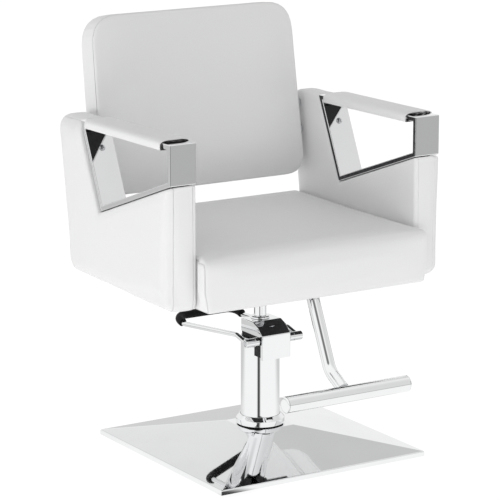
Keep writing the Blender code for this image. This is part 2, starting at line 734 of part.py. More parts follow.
def make_seat():
    half = SEAT_WIDTH / 2
    rear = SEAT_FRONT + SEAT_DEPTH
    corners = [(-half, SEAT_FRONT), (half, SEAT_FRONT), (half, rear), (-half, rear)]
    top = SEAT_BOTTOM + SEAT_HEIGHT

    def place(x, y, level):
        share = (level - SEAT_BOTTOM) / SEAT_HEIGHT
        fall = SEAT_FALL * (y - SEAT_FRONT) / SEAT_DEPTH
        return (x, y, level - share * fall)

    profile = edge_profile(SEAT_BOTTOM + SEAT_TUCK, SEAT_TUCK, -1, steps=2)[::-1]
    profile += edge_profile(top - SEAT_EDGE, SEAT_EDGE, 1)
    for run, rise in ((0.2, 0.55), (0.45, 0.9), (0.7, 1.0)):
        profile.append((top + SEAT_CROWN * rise, SEAT_EDGE + run * half))
    body = padded("seat_cushion", corners, [SEAT_CORNER] * 4, [SEAT_DRAW] * 4, SEAT_SHARES, profile, place)
    cushion = add_part("seat_cushion", body, vinyl)
    x = half - SEAT_WALL
    front, back = SEAT_FRONT + SEAT_WALL, rear - SEAT_WALL
    sheet = boxes("seat_board", ((-x, front, board_bottom), (x, back, board_top)))
    board = add_part("seat_board", sheet, plywood)
    pocket = boxes("seat_pocket", ((-x - GAP, front - GAP, SEAT_BOTTOM - SEAT_TUCK),
                                   (x + GAP, back + GAP, board_top + GAP)))
    cut(cushion, add_cutter("seat_pocket", pocket))

    edge = SEAT_PLATE / 2
    slab = boxes("seat_plate", ((-edge, -edge, plate_under), (edge, edge, plate_under + SEAT_PLATE_THICKNESS)))
    plate = add_part("seat_plate", slab, steel)
    low, high = RAM_RADIUS + RUN, RAM_RADIUS - RAM_TAPER + RUN
    wide = low + SOCKET_WALL
    turned("seat_socket", [(high, socket_top), (wide, socket_top), (wide, socket_bottom), (low, socket_bottom)],
           steel, ring=True)
    spot = edge - BOLT_INSET
    seats = [(x, y, plate_under - GAP) for x in (-spot, spot) for y in (-spot, spot)]
    fasten("seat_plate_bolt", seats, SEAT_PLATE_THICKNESS + BOLT_GRIP, (plate, board))
    return cushion, board


def fasten(name, seats, length, targets):
    """Bolts that point up from below, with their holes."""
    mesh = bolt(name, (0, 0, 1), BOLT_RADIUS, length, BOLT_HEAD, BOLT_HEAD_HEIGHT)
    for index, seat in enumerate(seats, 1):
        add_part(f"{name}_{index}", mesh, steel, seat)
    holes = [((x, y, z - GAP), (x, y, z + length + GAP), BOLT_RADIUS + GAP) for x, y, z in seats]
    drill = add_cutter(name + "_holes", pins(name + "_holes", *holes))
    for target in targets:
        cut(target, drill)


def make_footrest(board):
    bar = bent_path([(-BAR_LENGTH / 2, BAR_Y, BAR_Z), (BAR_LENGTH / 2, BAR_Y, BAR_Z)], 0)
    add_part("footrest_bar", swept("footrest_bar", bar, BAR_RADIUS, wall=BAR_WALL, resolution=6), chrome)
    bore = BAR_RADIUS - BAR_WALL - GAP
    steps = ((BAR_RADIUS, BAR_CAP), (BAR_RADIUS, 0.0), (bore, 0.0), (bore, -BAR_PLUG))
    for side, tag in ((1, "left"), (-1, "right")):
        cap = stepped_pin("footrest_cap_" + tag, steps, (side, 0, 0), SIDES)
        add_part("footrest_cap_" + tag, cap, chrome, (side * (BAR_LENGTH / 2 + GAP), BAR_Y, BAR_Z))

    knee, end = (0, STEM_BEND_Y, STEM_BEND_Z), (0, BAR_Y, BAR_Z)
    path = bent_path([(0, STEM_TOP_Y, flange_under), knee, end], STEM_BEND)
    path[0] += (path[0] - path[1]).normalized() * STEM_RADIUS
    tube = swept("footrest_stem", path, STEM_RADIUS, wall=STEM_WALL, resolution=5)
    stem = add_part("footrest_stem", tube, chrome)
    ends = [(side * BAR_LENGTH / 2, BAR_Y, BAR_Z) for side in (-1, 1)]
    saddle = pins("bar_saddle", (*ends, BAR_RADIUS + GAP), sides=SIDES)
    reach = 2 * STEM_RADIUS
    level = flange_under + FLANGE_PLATE / 2
    front, back = STEM_TOP_Y - 2 * reach, STEM_TOP_Y + 2 * reach
    trim = boxes("stem_trim", ((-reach, front, level), (reach, back, level + reach)))
    cut(stem, add_cutter("bar_saddle", saddle), add_cutter("stem_trim", trim))

    back = STEM_TOP_Y + FLANGE_BACK
    front = back - FLANGE_LENGTH
    half = FLANGE_WIDTH / 2
    plate = boxes("stem_flange", ((-half, front, flange_under), (half, back, flange_under + FLANGE_PLATE)))
    welded = stem.modifiers.new("flange", "BOOLEAN")
    welded.operation = "UNION"
    welded.object = add_cutter("stem_flange", plate)
    spot = half - FLANGE_BOLT_INSET
    seats = [(x, back - FLANGE_BOLT_INSET, flange_under - GAP) for x in (-spot, spot)]
    fasten("footrest_bolt", seats, FLANGE_PLATE + BOLT_GRIP, (stem, board))


def frame_corners():
    """Outer corners of the arm frame in (y, z), anticlockwise from the front bottom."""
    return [(ARM_FRONT, FRAME_FRONT_BOTTOM), (FRAME_CORNER_Y, FRAME_CORNER_Z), (FRAME_REAR_Y, FRAME_REAR_Z),
            (ARM_FRONT, FRAME_FRONT_TOP)]


def arm_corners():
    """Outline of the arm in (y, z), anticlockwise from the front bottom, with the frame's notch."""
    front_low, corner, rear_high, front_high = inset(frame_corners(), [-GAP] * 4)
    slope = (corner.y - front_low.y) / (corner.x - front_low.x)
    notch_front = (ARM_FRONT, corner.y + slope * (ARM_FRONT - corner.x))
    lean = (rear_high.x - corner.x) / (rear_high.y - corner.y)
    notch_rear = (corner.x + lean * (ARM_TOP - corner.y), ARM_TOP)
    bottom = ARM_BOTTOM + ARM_BOTTOM_RISE
    rear_low = (ARM_REAR - math.tan(BACK_TILT) * (ARM_TOP - bottom), bottom)
    return [(ARM_FRONT, ARM_BOTTOM), rear_low, (ARM_REAR, ARM_TOP), notch_rear, tuple(corner), notch_front]


def make_arm(side, tag, seat, seat_board, back, back_board):
    corners = arm_corners()
    setbacks = [ARM_FRONT_CORNER, ARM_REAR_CORNER, ARM_REAR_CORNER] + [ARM_NOTCH_CORNER] * 3
    profile = edge_profile(arm_inside + ARM_INNER_EDGE, ARM_INNER_EDGE, -1, steps=2)[::-1]
    profile += edge_profile(arm_plateau - ARM_EDGE, ARM_EDGE, 1)
    body = padded("arm_cushion_" + tag, corners, setbacks, [0] * 6, ARM_SHARES, profile,
                  lambda y, z, level: (side * level, y, z))
    cushion = add_part("arm_cushion_" + tag, body, vinyl)
    middle = side * (arm_board_inside + ARM_BOARD / 2)
    margins = [ARM_SLOT] + [ARM_MARGIN] * 5
    board_mesh = side_plate("arm_board_" + tag, [inset(corners, margins)], ARM_BOARD, middle)
    board = add_part("arm_board_" + tag, board_mesh, plywood)
    room = [-ARM_MARGIN] + [ARM_MARGIN - GAP] * 5
    pocket = side_plate("arm_pocket_" + tag, [inset(corners, room)], ARM_BOARD + 2 * GAP, middle)
    cut(cushion, add_cutter("arm_pocket_" + tag, pocket))

    outer = frame_corners()
    window = inset(outer, [FRAME_BAR] * 4)
    frame = add_part("arm_frame_" + tag, side_plate("arm_frame_" + tag, [outer, window[::-1]], FRAME_WIDTH,
                                                    side * frame_middle), chrome)
    edges = frame.modifiers.new("edges", "BEVEL")
    edges.width = FRAME_BEVEL
    edges.segments = 2
    foot, head = Vector(window[1]), Vector(window[2])
    along = (head - foot).normalized()
    into = Vector((0.0, along.y, -along.x))
    spot = foot.lerp(head, FRAME_SCREW_AT)
    under_head = Vector((side * frame_middle, spot.x, spot.y)) - into * GAP
    screw = bolt("arm_screw_" + tag, into, SCREW_RADIUS, SCREW_LENGTH, SCREW_HEAD, SCREW_HEAD_HEIGHT)
    add_part("arm_screw_" + tag, screw, steel, under_head)
    hole = pins("arm_screw_hole_" + tag, (under_head - into * GAP, under_head + into * (SCREW_LENGTH + GAP),
                                          SCREW_RADIUS + GAP))
    drill = add_cutter("arm_screw_hole_" + tag, hole)
    for target in (frame, cushion, board):
        cut(target, drill)
    make_pad(side, tag)

    end = arm_board_inside + STUD_GRIP
    start = SEAT_WIDTH / 2 - SEAT_WALL - STUD_GRIP
    steps = ((STUD_RADIUS, start), (STUD_RADIUS, end))
    for index, y in enumerate(SEAT_STUDS, 1):
        add_stud(f"seat_stud_{tag}_{index}", side, steps, (0, y, stud_z), (seat, seat_board, cushion, board))
    depth = BACK_BOARD_SET + BACK_BOARD / 2
    for index, rise in enumerate(BACK_STUDS, 1):
        y = BACK_FRONT + depth * math.cos(BACK_TILT) + rise * math.sin(BACK_TILT)
        z = BACK_BOTTOM - depth * math.sin(BACK_TILT) + rise * math.cos(BACK_TILT)
        start = back_half(rise) - BACK_MARGIN - STUD_GRIP
        near = back_half(rise - SHOULDER_RADIUS) + GAP
        far = arm_inside - GAP
        steps = ((STUD_RADIUS, start), (STUD_RADIUS, near), (SHOULDER_RADIUS, near), (SHOULDER_RADIUS, far),
                 (STUD_RADIUS, far), (STUD_RADIUS, end))
        add_stud(f"back_stud_{tag}_{index}", side, steps, (0, y, z), (back, back_board, cushion, board))


def add_stud(name, side, steps, location, targets):
    """Stud through steps of (radius, distance from the middle), with the hole that it sits in."""
    add_part(name, stepped_pin(name, steps, (side, 0, 0)), steel, location)
    bore = STUD_RADIUS + GAP
    hole = stepped_pin(name + "_hole", ((bore, steps[0][1] - GAP), (bore, steps[-1][1] + GAP)), (side, 0, 0))
    drill = add_cutter(name + "_hole", hole, location)
    for target in targets:
        cut(target, drill)


def make_pad(side, tag):
    """Arched sleeve that wraps the top bar of the arm frame and hooks under its edges."""
    rear, front = Vector(frame_corners()[2]), Vector(frame_corners()[3])
    along = (rear - front).normalized()
    up = Vector((-along.y, along.x))
    inner = FRAME_WIDTH / 2 + GAP
    outer = inner + PAD_WALL
    hook = FRAME_WIDTH / 2 - PAD_LIP_WIDTH
    under = -FRAME_BAR - GAP
    half = [(hook, under), (hook, under - PAD_LIP), (outer - PAD_LIP, under - PAD_LIP), (outer, under)]
    for step in range(PAD_POINTS):
        angle = math.pi / 2 * step / PAD_POINTS
        half.append((outer * math.cos(angle) ** 0.6, PAD_CROWN * math.sin(angle) ** 0.8))
    top = [(0.0, PAD_CROWN)]
    mirrored = [(-x, z) for x, z in half[::-1]]
    inside = [(-inner, under), (-inner, GAP), (inner, GAP), (inner, under)]
    section = half + top + mirrored + inside
    rings = []
    for run in (PAD_SET_BACK, PAD_SET_BACK + PAD_LENGTH):
        spot = front + along * run
        ring = []
        for x, z in section:
            point = spot + up * z
            ring.append((side * frame_middle + x, point.x, point.y))
        rings.append(ring)
    bm = bmesh.new()
    loft(bm, rings)
    add_part("arm_pad_" + tag, to_mesh("arm_pad_" + tag, bm), vinyl)


def back_half(rise):
    """Half width of the back at a height along it."""
    return SEAT_WIDTH / 2 - BACK_CLEAR - BACK_TAPER * rise / BACK_LENGTH


def make_back():
    frame = add_frame("back_frame", (0, BACK_FRONT, BACK_BOTTOM), (-BACK_TILT, 0, 0))
    low, high = back_half(0.0), back_half(BACK_LENGTH)
    corners = [(-low, 0), (low, 0), (high, BACK_LENGTH), (-high, BACK_LENGTH)]
    setbacks = [BACK_LOW_CORNER] * 2 + [BACK_TOP_CORNER] * 2
    draws = [BACK_DRAW, 0, BACK_DRAW, 0]
    profile = edge_profile(BACK_SIDE, BACK_REAR, 1, steps=3)[::-1]
    profile += [(BACK_WELT, 0.0), (0.0, BACK_WELT), (-BACK_WELT, 0.0)]
    for run, rise in ((0.02, 0.35), (0.08, 0.6), (0.2, 0.85), (0.35, 1.0)):
        profile.append((-BACK_WELT - (BACK_CROWN - BACK_WELT) * rise, run * BACK_LENGTH))
    cushion = add_part("back_cushion", padded("back_cushion", corners, setbacks, draws, [1] * 4, profile,
                                              lambda x, z, level: (x, level, z)), vinyl, parent=frame)
    inner = inset(corners, [BACK_MARGIN] * 4)
    front, rear = BACK_BOARD_SET, BACK_BOARD_SET + BACK_BOARD
    bm = bmesh.new()
    loft(bm, [[(x, level, z) for x, z in inner] for level in (front, rear)])
    board = add_part("back_board", to_mesh("back_board", bm), plywood, parent=frame)
    room = inset(corners, [-BACK_MARGIN] + [BACK_MARGIN - GAP] * 3)
    bm = bmesh.new()
    loft(bm, [[(x, level, z) for x, z in room] for level in (front - GAP, rear + GAP)])
    cut(cushion, add_cutter("back_pocket", to_mesh("back_pocket", bm), parent=frame))
    return cushion, board


def main():
    clear_scene()
    make_base()
    make_pump()
    make_lever()
    make_plunger()
    make_ram()
    seat, seat_board = make_seat()
    make_footrest(seat_board)
    back, back_board = make_back()
    for side, tag in ((1, "left"), (-1, "right")):
        make_arm(side, tag, seat, seat_board, back, back_board)


main()
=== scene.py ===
import json
import math

import bmesh
import bpy
from mathutils import Matrix, Vector
from mathutils.kdtree import KDTree


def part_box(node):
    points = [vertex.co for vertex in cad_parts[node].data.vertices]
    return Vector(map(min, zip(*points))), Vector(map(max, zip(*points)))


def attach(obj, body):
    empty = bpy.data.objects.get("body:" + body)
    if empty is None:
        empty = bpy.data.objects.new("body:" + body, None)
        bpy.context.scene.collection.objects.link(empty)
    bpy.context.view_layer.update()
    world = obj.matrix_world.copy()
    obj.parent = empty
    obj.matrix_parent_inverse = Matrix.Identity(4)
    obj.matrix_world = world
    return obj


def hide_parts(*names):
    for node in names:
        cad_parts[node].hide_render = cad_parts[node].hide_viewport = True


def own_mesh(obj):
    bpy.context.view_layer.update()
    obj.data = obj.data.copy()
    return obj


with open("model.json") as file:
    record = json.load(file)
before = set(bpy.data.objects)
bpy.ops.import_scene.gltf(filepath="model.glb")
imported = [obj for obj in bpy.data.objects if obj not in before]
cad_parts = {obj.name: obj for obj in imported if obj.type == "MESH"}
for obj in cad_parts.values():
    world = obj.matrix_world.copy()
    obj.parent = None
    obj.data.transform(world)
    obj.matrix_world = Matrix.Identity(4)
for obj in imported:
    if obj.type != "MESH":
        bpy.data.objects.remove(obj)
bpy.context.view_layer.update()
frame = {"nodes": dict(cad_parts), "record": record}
cadNodes = frame["nodes"]
print("frame loaded:", len(cadNodes), "nodes")


class Wire:  # a socket that can be reckoned with
    def __init__(self, look, socket):
        self.look = look
        self.socket = socket

    def reckon(self, operation, first, second):
        return self.look.add("ShaderNodeMath", {"operation": operation}, {0: first, 1: second})

    def __add__(self, other):
        return self.reckon("ADD", self, other)

    def __radd__(self, other):
        return self.reckon("ADD", other, self)

    def __sub__(self, other):
        return self.reckon("SUBTRACT", self, other)

    def __rsub__(self, other):
        return self.reckon("SUBTRACT", other, self)

    def __mul__(self, other):
        return self.reckon("MULTIPLY", self, other)

    def __rmul__(self, other):
        return self.reckon("MULTIPLY", other, self)

    def __pow__(self, other):
        return self.reckon("POWER", self, other)


class Look:  # one material and its nodes
    def __init__(self, name, colour, roughness, metallic=0.0):
        self.material = bpy.data.materials.new(name)
        self.material.use_nodes = True
        self.tree = self.material.node_tree
        self.shader = self.tree.nodes["Principled BSDF"]
        self.put("Base Color", (*colour, 1.0))
        self.put("Roughness", roughness)
        self.put("Metallic", metallic)

    def feed(self, socket, value):
        if isinstance(value, Wire):
            self.tree.links.new(value.socket, socket)
        else:
            socket.default_value = value

    def put(self, name, value):
        self.feed(self.shader.inputs[name], value)

    def add(self, kind, settings=None, inputs=None, output=0):
        node = self.tree.nodes.new(kind)
        for key, value in (settings or {}).items():
            if key == "stops":
                for stop, (place, shade) in zip(node.color_ramp.elements, value):
                    stop.position = place
                    stop.color = (shade, shade, shade, 1.0)
            else:
                setattr(node, key, value)
        for key, value in (inputs or {}).items():
            self.feed(node.inputs[key], value)
        return Wire(self, node.outputs[output])

    def place(self, stretch=(1.0, 1.0, 1.0)):
        where = self.add("ShaderNodeTexCoord", output="Object")
        return self.add("ShaderNodeMapping", None, {"Vector": where, "Scale": stretch})

    def noise(self, scale, detail=2.0, stretch=(1.0, 1.0, 1.0), rough=0.5):
        values = {"Vector": self.place(stretch), "Scale": scale, "Detail": detail, "Roughness": rough}
        return self.add("ShaderNodeTexNoise", None, values, "Fac")

    def ramp(self, value, low, high):
        return self.add("ShaderNodeValToRGB", {"stops": [(low, 0.0), (high, 1.0)]}, {"Fac": value})

    def mix(self, share, first, second):
        return self.blend(share, (*first, 1.0), second)

    def blend(self, share, first, second):
        return self.add("ShaderNodeMix", {"data_type": "RGBA"}, {0: share, 6: first, 7: (*second, 1.0)}, 2)

    def dent(self, height, strength, depth):
        bump = self.add("ShaderNodeBump", None, {"Strength": strength, "Distance": depth, "Height": height})
        self.put("Normal", bump)

    def smooth(self, value, start, end, low=0.0, high=1.0):  # eases from low to high between two values
        limits = {0: value, 1: start, 2: end, 3: low, 4: high}
        return self.add("ShaderNodeMapRange", {"interpolation_type": "SMOOTHSTEP"}, limits)

    def split(self, vector):
        parts = self.add("ShaderNodeSeparateXYZ", None, {0: vector}).socket.node
        return [Wire(self, output) for output in parts.outputs]

    def rays(self):  # what asks for the colour: the camera, or a mirror
        path = self.tree.nodes.new("ShaderNodeLightPath")
        return Wire(self, path.outputs["Is Camera Ray"]), Wire(self, path.outputs["Is Glossy Ray"])


def makeVinyl():
    # seam: the colour of the painted shade in the seam grooves
    tune = {"bright": (0.86, 0.86, 0.86), "shaded": (0.82, 0.82, 0.823), "seam": (0.20, 0.20, 0.205),
            "grain": 780.0, "pores": 2600.0, "clouds": 7.0, "rubs": 38.0, "rough": 0.40, "wear": 0.10,
            "gloss": 0.45, "relief": (0.22, 0.0004)}
    look = Look("whiteVinyl", tune["bright"], tune["rough"])
    cells = look.add("ShaderNodeTexVoronoi", {"feature": "DISTANCE_TO_EDGE"},
                     {"Vector": look.place(), "Scale": tune["grain"]}, "Distance")
    pebble = look.ramp(cells, 0.0, 0.35)
    pores = look.noise(tune["pores"], 2.0)
    cloud = look.noise(tune["clouds"], 3.0)
    rubbed = look.ramp(look.noise(tune["rubs"], 4.0), 0.42, 0.72)
    sewn = look.add("ShaderNodeAttribute", {"attribute_name": "seam"}, output="Fac")  # painted shade of the seam grooves; sewLine sets it
    skin = look.mix(cloud * 0.55 + (1 - pebble) * 0.25, tune["bright"], tune["shaded"])
    # the seam grooves' shade is painted into the colour here
    look.put("Base Color", look.blend(sewn, skin, tune["seam"]))
    look.put("Roughness", tune["rough"] + rubbed * tune["wear"] + (1 - pebble) * tune["wear"])
    look.put("Specular IOR Level", tune["gloss"])
    look.dent(pebble * 0.7 + pores * 0.3, *tune["relief"])
    return look.material


def makeChrome():
    tune = {"tint": (0.90, 0.905, 0.91), "haze": (0.82, 0.825, 0.83), "rough": 0.025, "breath": 9.0,
            "hairs": 260.0, "drawn": (1.0, 1.0, 0.04)}
    look = Look("mirrorChrome", tune["tint"], tune["rough"], 1.0)
    breath = look.ramp(look.noise(tune["breath"], 4.0), 0.45, 0.8)
    hairs = look.ramp(look.noise(tune["hairs"], 2.0, tune["drawn"]), 0.62, 0.78)
    look.put("Base Color", look.mix(breath * 0.5, tune["tint"], tune["haze"]))
    look.put("Roughness", tune["rough"] + breath * 0.03 + hairs * 0.02)
    return look.material


def makeZinc():
    tune = {"pale": (0.74, 0.75, 0.76), "dull": (0.58, 0.59, 0.61), "rough": 0.24, "spangle": 120.0,
            "lines": 420.0, "drawn": (1.0, 0.05, 1.0), "relief": (0.12, 0.0002)}
    look = Look("zincSteel", tune["pale"], tune["rough"], 1.0)
    spangle = look.ramp(look.noise(tune["spangle"], 5.0), 0.35, 0.7)
    lines = look.noise(tune["lines"], 2.0, tune["drawn"])
    look.put("Base Color", look.mix(spangle, tune["pale"], tune["dull"]))
    look.put("Roughness", tune["rough"] + lines * 0.14)
    look.dent(lines, *tune["relief"])
    return look.material


def makeCasting():
    tune = {"black": (0.009, 0.009, 0.010), "worn": (0.028, 0.028, 0.030), "rough": 0.42, "gloss": 0.25,
            "sand": 900.0, "wear": 70.0, "relief": (0.35, 0.0004)}
    look = Look("blackCasting", tune["black"], tune["rough"], 0.0)
    sand = look.noise(tune["sand"], 4.0)
    worn = look.ramp(look.noise(tune["wear"], 5.0), 0.55, 0.8)
    look.put("Base Color", look.mix(worn, tune["black"], tune["worn"]))
    look.put("Roughness", tune["rough"] + sand * 0.2)
    look.put("Specular IOR Level", tune["gloss"])
    look.dent(sand, *tune["relief"])
    return look.material


def makeRubber():
    tune = {"black": (0.006, 0.006, 0.0065), "dusty": (0.016, 0.016, 0.017), "rough": 0.50, "gloss": 0.18,
            "dust": 55.0, "fine": 1500.0, "relief": (0.2, 0.0003)}
    look = Look("blackRubber", tune["black"], tune["rough"])
    dust = look.ramp(look.noise(tune["dust"], 5.0), 0.4, 0.8)
    fine = look.noise(tune["fine"], 2.0)
    look.put("Base Color", look.mix(dust, tune["black"], tune["dusty"]))
    look.put("Roughness", tune["rough"] + fine * 0.15 + dust * 0.08)
    look.put("Specular IOR Level", tune["gloss"])
    look.dent(fine, *tune["relief"])
    return look.material


def makePlywood():
    tune = {"pale": (0.66, 0.50, 0.32), "dark": (0.45, 0.30, 0.17), "rough": 0.6, "grain": 60.0,
            "drawn": (1.0, 0.08, 1.0), "relief": (0.2, 0.0003)}
    look = Look("birchPly", tune["pale"], tune["rough"])
    grain = look.noise(tune["grain"], 6.0, tune["drawn"], 0.65)
    rings = look.ramp(grain, 0.35, 0.65)
    look.put("Base Color", look.mix(rings, tune["pale"], tune["dark"]))
    look.put("Roughness", tune["rough"] + rings * 0.15)
    look.dent(grain, *tune["relief"])
    return look.material


def makeBronze():
    tune = {"warm": (0.66, 0.45, 0.22), "dark": (0.42, 0.28, 0.14), "rough": 0.3, "film": 150.0}
    look = Look("oiledBronze", tune["warm"], tune["rough"], 1.0)
    film = look.ramp(look.noise(tune["film"], 4.0), 0.4, 0.75)
    look.put("Base Color", look.mix(film, tune["warm"], tune["dark"]))
    look.put("Roughness", tune["rough"] + film * 0.2)
    return look.material


# a painted dark reflection for the chrome frame's inner side: near black, with lighter spots at random
def makePaintedReflection():
    tune = {"black": (0.020, 0.020, 0.022), "rubbed": (0.075, 0.075, 0.080), "rough": 0.30, "metal": 0.6,
            "rubs": 160.0}
    look = Look("paintedDarkReflection", tune["black"], tune["rough"], tune["metal"])
    rubbed = look.ramp(look.noise(tune["rubs"], 4.0), 0.45, 0.75)
    look.put("Base Color", look.mix(rubbed, tune["black"], tune["rubbed"]))
    look.put("Roughness", tune["rough"] + rubbed * 0.12)
    return look.material


def makeDustCover():
    tune = {"black": (0.012, 0.012, 0.013), "thread": (0.028, 0.028, 0.030), "rough": 0.85, "weave": 1900.0,
            "relief": (0.3, 0.0003)}
    look = Look("dustCover", tune["black"], tune["rough"])
    weave = look.noise(tune["weave"], 3.0)
    look.put("Base Color", look.mix(look.ramp(weave, 0.4, 0.7), tune["black"], tune["thread"]))
    look.put("Roughness", tune["rough"] + weave * 0.1)
    look.dent(weave, *tune["relief"])
    return look.material


finishes = {
    "white_vinyl": makeVinyl(),
    "chrome": makeChrome(),
    "zinc_steel": makeZinc(),
    "black_casting": makeCasting(),
    "black_rubber": makeRubber(),
    "plywood": makePlywood(),
    "bronze": makeBronze(),
}
for entry in frame["record"]["subparts"]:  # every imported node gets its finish
    node = cadNodes[entry["node"]]
    node.data.materials.clear()
    node.data.materials.append(finishes[entry["material_slot"]])
print("finishes:", len(finishes))

mirrorX = Matrix.Diagonal((-1, 1, 1, 1))  # left to right


def clearPick():
    bpy.ops.object.select_all(action="DESELECT")


def hold(piece):  # makes one piece the selected and active one
    clearPick()
    piece.select_set(True)
    bpy.context.view_layer.objects.active = piece


def begin(name):  # names the new primitive and puts its place into its mesh
    piece = bpy.context.object
    piece.name = piece.data.name = name
    bpy.ops.object.transform_apply(location=True, rotation=True, scale=True)
    return piece


def edit(piece):
    hold(piece)
    bpy.ops.object.mode_set(mode="EDIT")


def leave():
    bpy.ops.object.mode_set(mode="OBJECT")


def pick(piece, kind, test):  # in edit mode: selects what passes the test
    bpy.ops.mesh.select_mode(type=kind)
    bpy.ops.mesh.select_all(action="DESELECT")
    mesh = bmesh.from_edit_mesh(piece.data)
    mesh.normal_update()
    for item in {"VERT": mesh.verts, "EDGE": mesh.edges, "FACE": mesh.faces}[kind]:
        if test(item):
            item.select_set(True)
    mesh.select_flush_mode()
    bmesh.update_edit_mesh(piece.data)


def pickAll():
    bpy.ops.mesh.select_all(action="SELECT")


def faceOut():
    pickAll()
    bpy.ops.mesh.normals_make_consistent(inside=False)


def applyModifier(piece, kind, **settings):
    step = piece.modifiers.new(kind.lower(), kind)
    for key, value in settings.items():
        setattr(step, key, value)
    hold(piece)
    bpy.ops.object.modifier_apply(modifier=step.name)


def cutAway(piece, cutter):
    applyModifier(piece, "BOOLEAN", operation="DIFFERENCE", object=cutter, solver="EXACT")
    bpy.data.objects.remove(cutter)


def weld(name, *pieces):  # joins pieces into the first one
    clearPick()
    for piece in pieces:
        piece.select_set(True)
    bpy.context.view_layer.objects.active = pieces[0]
    bpy.ops.object.join()
    pieces[0].name = pieces[0].data.name = name
    return pieces[0]


def twin(piece, name, matrix):  # a copy with its own mesh, moved or mirrored
    copy = piece.copy()
    copy.data = piece.data.copy()
    copy.name = copy.data.name = name
    bpy.context.scene.collection.objects.link(copy)
    copy.data.transform(matrix)
    if matrix.determinant() < 0:
        copy.data.flip_normals()
    return copy


def settle(piece, body, slot, nodes=(), angle=35.0, flat=False):
    hold(piece)
    bpy.ops.object.shade_smooth_by_angle(angle=math.radians(angle))
    if flat:  # wide faces keep their own normals beside rounded edges
        applyModifier(piece, "WEIGHTED_NORMAL", keep_sharp=True, weight=100)
    if not piece.data.materials:
        piece.data.materials.append(finishes[slot])
    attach(piece, body)
    if nodes:
        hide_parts(*nodes)
    return piece


def loftPiece(name, rings):  # an n-gon that is extruded from ring to ring
    clearPick()
    bpy.ops.mesh.primitive_circle_add(vertices=len(rings[0]), radius=0.1, fill_type="NGON")
    piece = begin(name)
    for vertex, spot in zip(piece.data.vertices, rings[0]):
        vertex.co = spot
    edit(piece)
    bpy.ops.mesh.select_mode(type="FACE")
    pickAll()
    for before, ring in zip(rings, rings[1:]):
        bpy.ops.mesh.extrude_region_move()
        nearest = KDTree(len(before))
        for index, spot in enumerate(before):
            nearest.insert(spot, index)
        nearest.balance()
        mesh = bmesh.from_edit_mesh(piece.data)
        for vertex in mesh.verts:
            if vertex.select:
                vertex.co = ring[nearest.find(vertex.co)[1]]
        bmesh.update_edit_mesh(piece.data)
    faceOut()
    leave()
    return piece


def turnedPiece(name, profile, steps=96):  # a closed outline of (radius, height), spun about Z
    clearPick()
    bpy.ops.mesh.primitive_circle_add(vertices=len(profile), radius=0.1, fill_type="NOTHING")
    piece = begin(name)
    for vertex, (radius, height) in zip(piece.data.vertices, profile):
        vertex.co = (radius, 0.0, height)
    edit(piece)
    pickAll()
    bpy.ops.mesh.spin(steps=steps, angle=math.tau, center=(0, 0, 0), axis=(0, 0, 1))
    pickAll()
    bpy.ops.mesh.remove_doubles(threshold=0.00002)
    bpy.ops.mesh.dissolve_degenerate(threshold=0.00001)
    bpy.ops.mesh.delete_loose()
    faceOut()
    leave()
    return piece


def bentPath(points, radius, steps=12):  # straight runs joined by round bends
    points = [Vector(point) for point in points]
    path = [points[0]]
    for before, corner, after in zip(points, points[1:], points[2:]):
        back, ahead = (before - corner).normalized(), (after - corner).normalized()
        half = back.angle(ahead) / 2
        start = corner + back * (radius / math.tan(half))
        end = corner + ahead * (radius / math.tan(half))
        centre = corner + (back + ahead).normalized() * (radius / math.sin(half))
        arm, other = start - centre, end - centre
        axis, sweep = arm.cross(other), arm.angle(other)
        for step in range(steps + 1):
            path.append(centre + Matrix.Rotation(sweep * step / steps, 3, axis) @ arm)
    return path + [points[-1]]


def pipePiece(name, path, radius, fine=8):
    curve = bpy.data.curves.new(name, "CURVE")
    curve.dimensions = "3D"
    curve.bevel_depth = radius
    curve.bevel_resolution = fine
    curve.use_fill_caps = True
    run = curve.splines.new("POLY")
    run.points.add(len(path) - 1)
    for point, spot in zip(run.points, path):
        point.co = (*spot, 1.0)
    pipe = bpy.data.objects.new(name, curve)
    bpy.context.scene.collection.objects.link(pipe)
    hold(pipe)
    bpy.ops.object.convert(target="MESH")
    piece = bpy.context.object
    piece.name = piece.data.name = name
    edit(piece)
    pickAll()
    bpy.ops.mesh.remove_doubles(threshold=0.00001)
    faceOut()
    leave()
    return piece


def insetOutline(corners, distances):  # moves each side of an anticlockwise outline in by its distance
    moved = []
    for index, corner in enumerate(corners):
        lines = []
        for start, end, distance in ((corners[index - 1], corner, distances[index - 1]),
                                     (corner, corners[(index + 1) % len(corners)], distances[index])):
            along = (Vector(end) - Vector(start)).normalized()
            lines.append((Vector(corner) + Vector((-along.y, along.x)) * distance, along))
        (first, along), (second, ahead) = lines
        gap = second - first
        reach = (gap.x * ahead.y - gap.y * ahead.x) / (along.x * ahead.y - along.y * ahead.x)
        moved.append(first + along * reach)
    return moved


def roundOutline(corners, radii, arcSteps=6, sideSteps=8):
    outline = []
    for index, corner in enumerate(corners):
        corner, following = Vector(corner), Vector(corners[(index + 1) % len(corners)])
        back = (Vector(corners[index - 1]) - corner).normalized()
        ahead = (following - corner).normalized()
        start, end = corner + back * radii[index], corner + ahead * radii[index]
        for step in range(arcSteps + 1):
            share = step / arcSteps
            outline.append(start * (1 - share) ** 2 + corner * 2 * share * (1 - share) + end * share ** 2)
        far = following - ahead * radii[(index + 1) % len(corners)]
        for step in range(1, sideSteps):
            outline.append(end.lerp(far, step / sideSteps))
    return outline


def quarterRound(level, radius, towards, steps=6):  # (level, inset) from a side to a flat
    turns = [math.pi / 2 * step / steps for step in range(steps + 1)]
    return [(level + towards * radius * math.sin(turn), radius * (1 - math.cos(turn))) for turn in turns]


def paddedRings(corners, radii, shares, profile, place):
    rings = []
    for level, depth in profile:
        inner = insetOutline(corners, [depth * share for share in shares])
        tight = [max(radius - depth * (shares[index - 1] + shares[index]) / 2, 0.002)
                 for index, radius in enumerate(radii)]
        rings.append([Vector(place(spot.x, spot.y, level)) for spot in roundOutline(inner, tight)])
    return rings


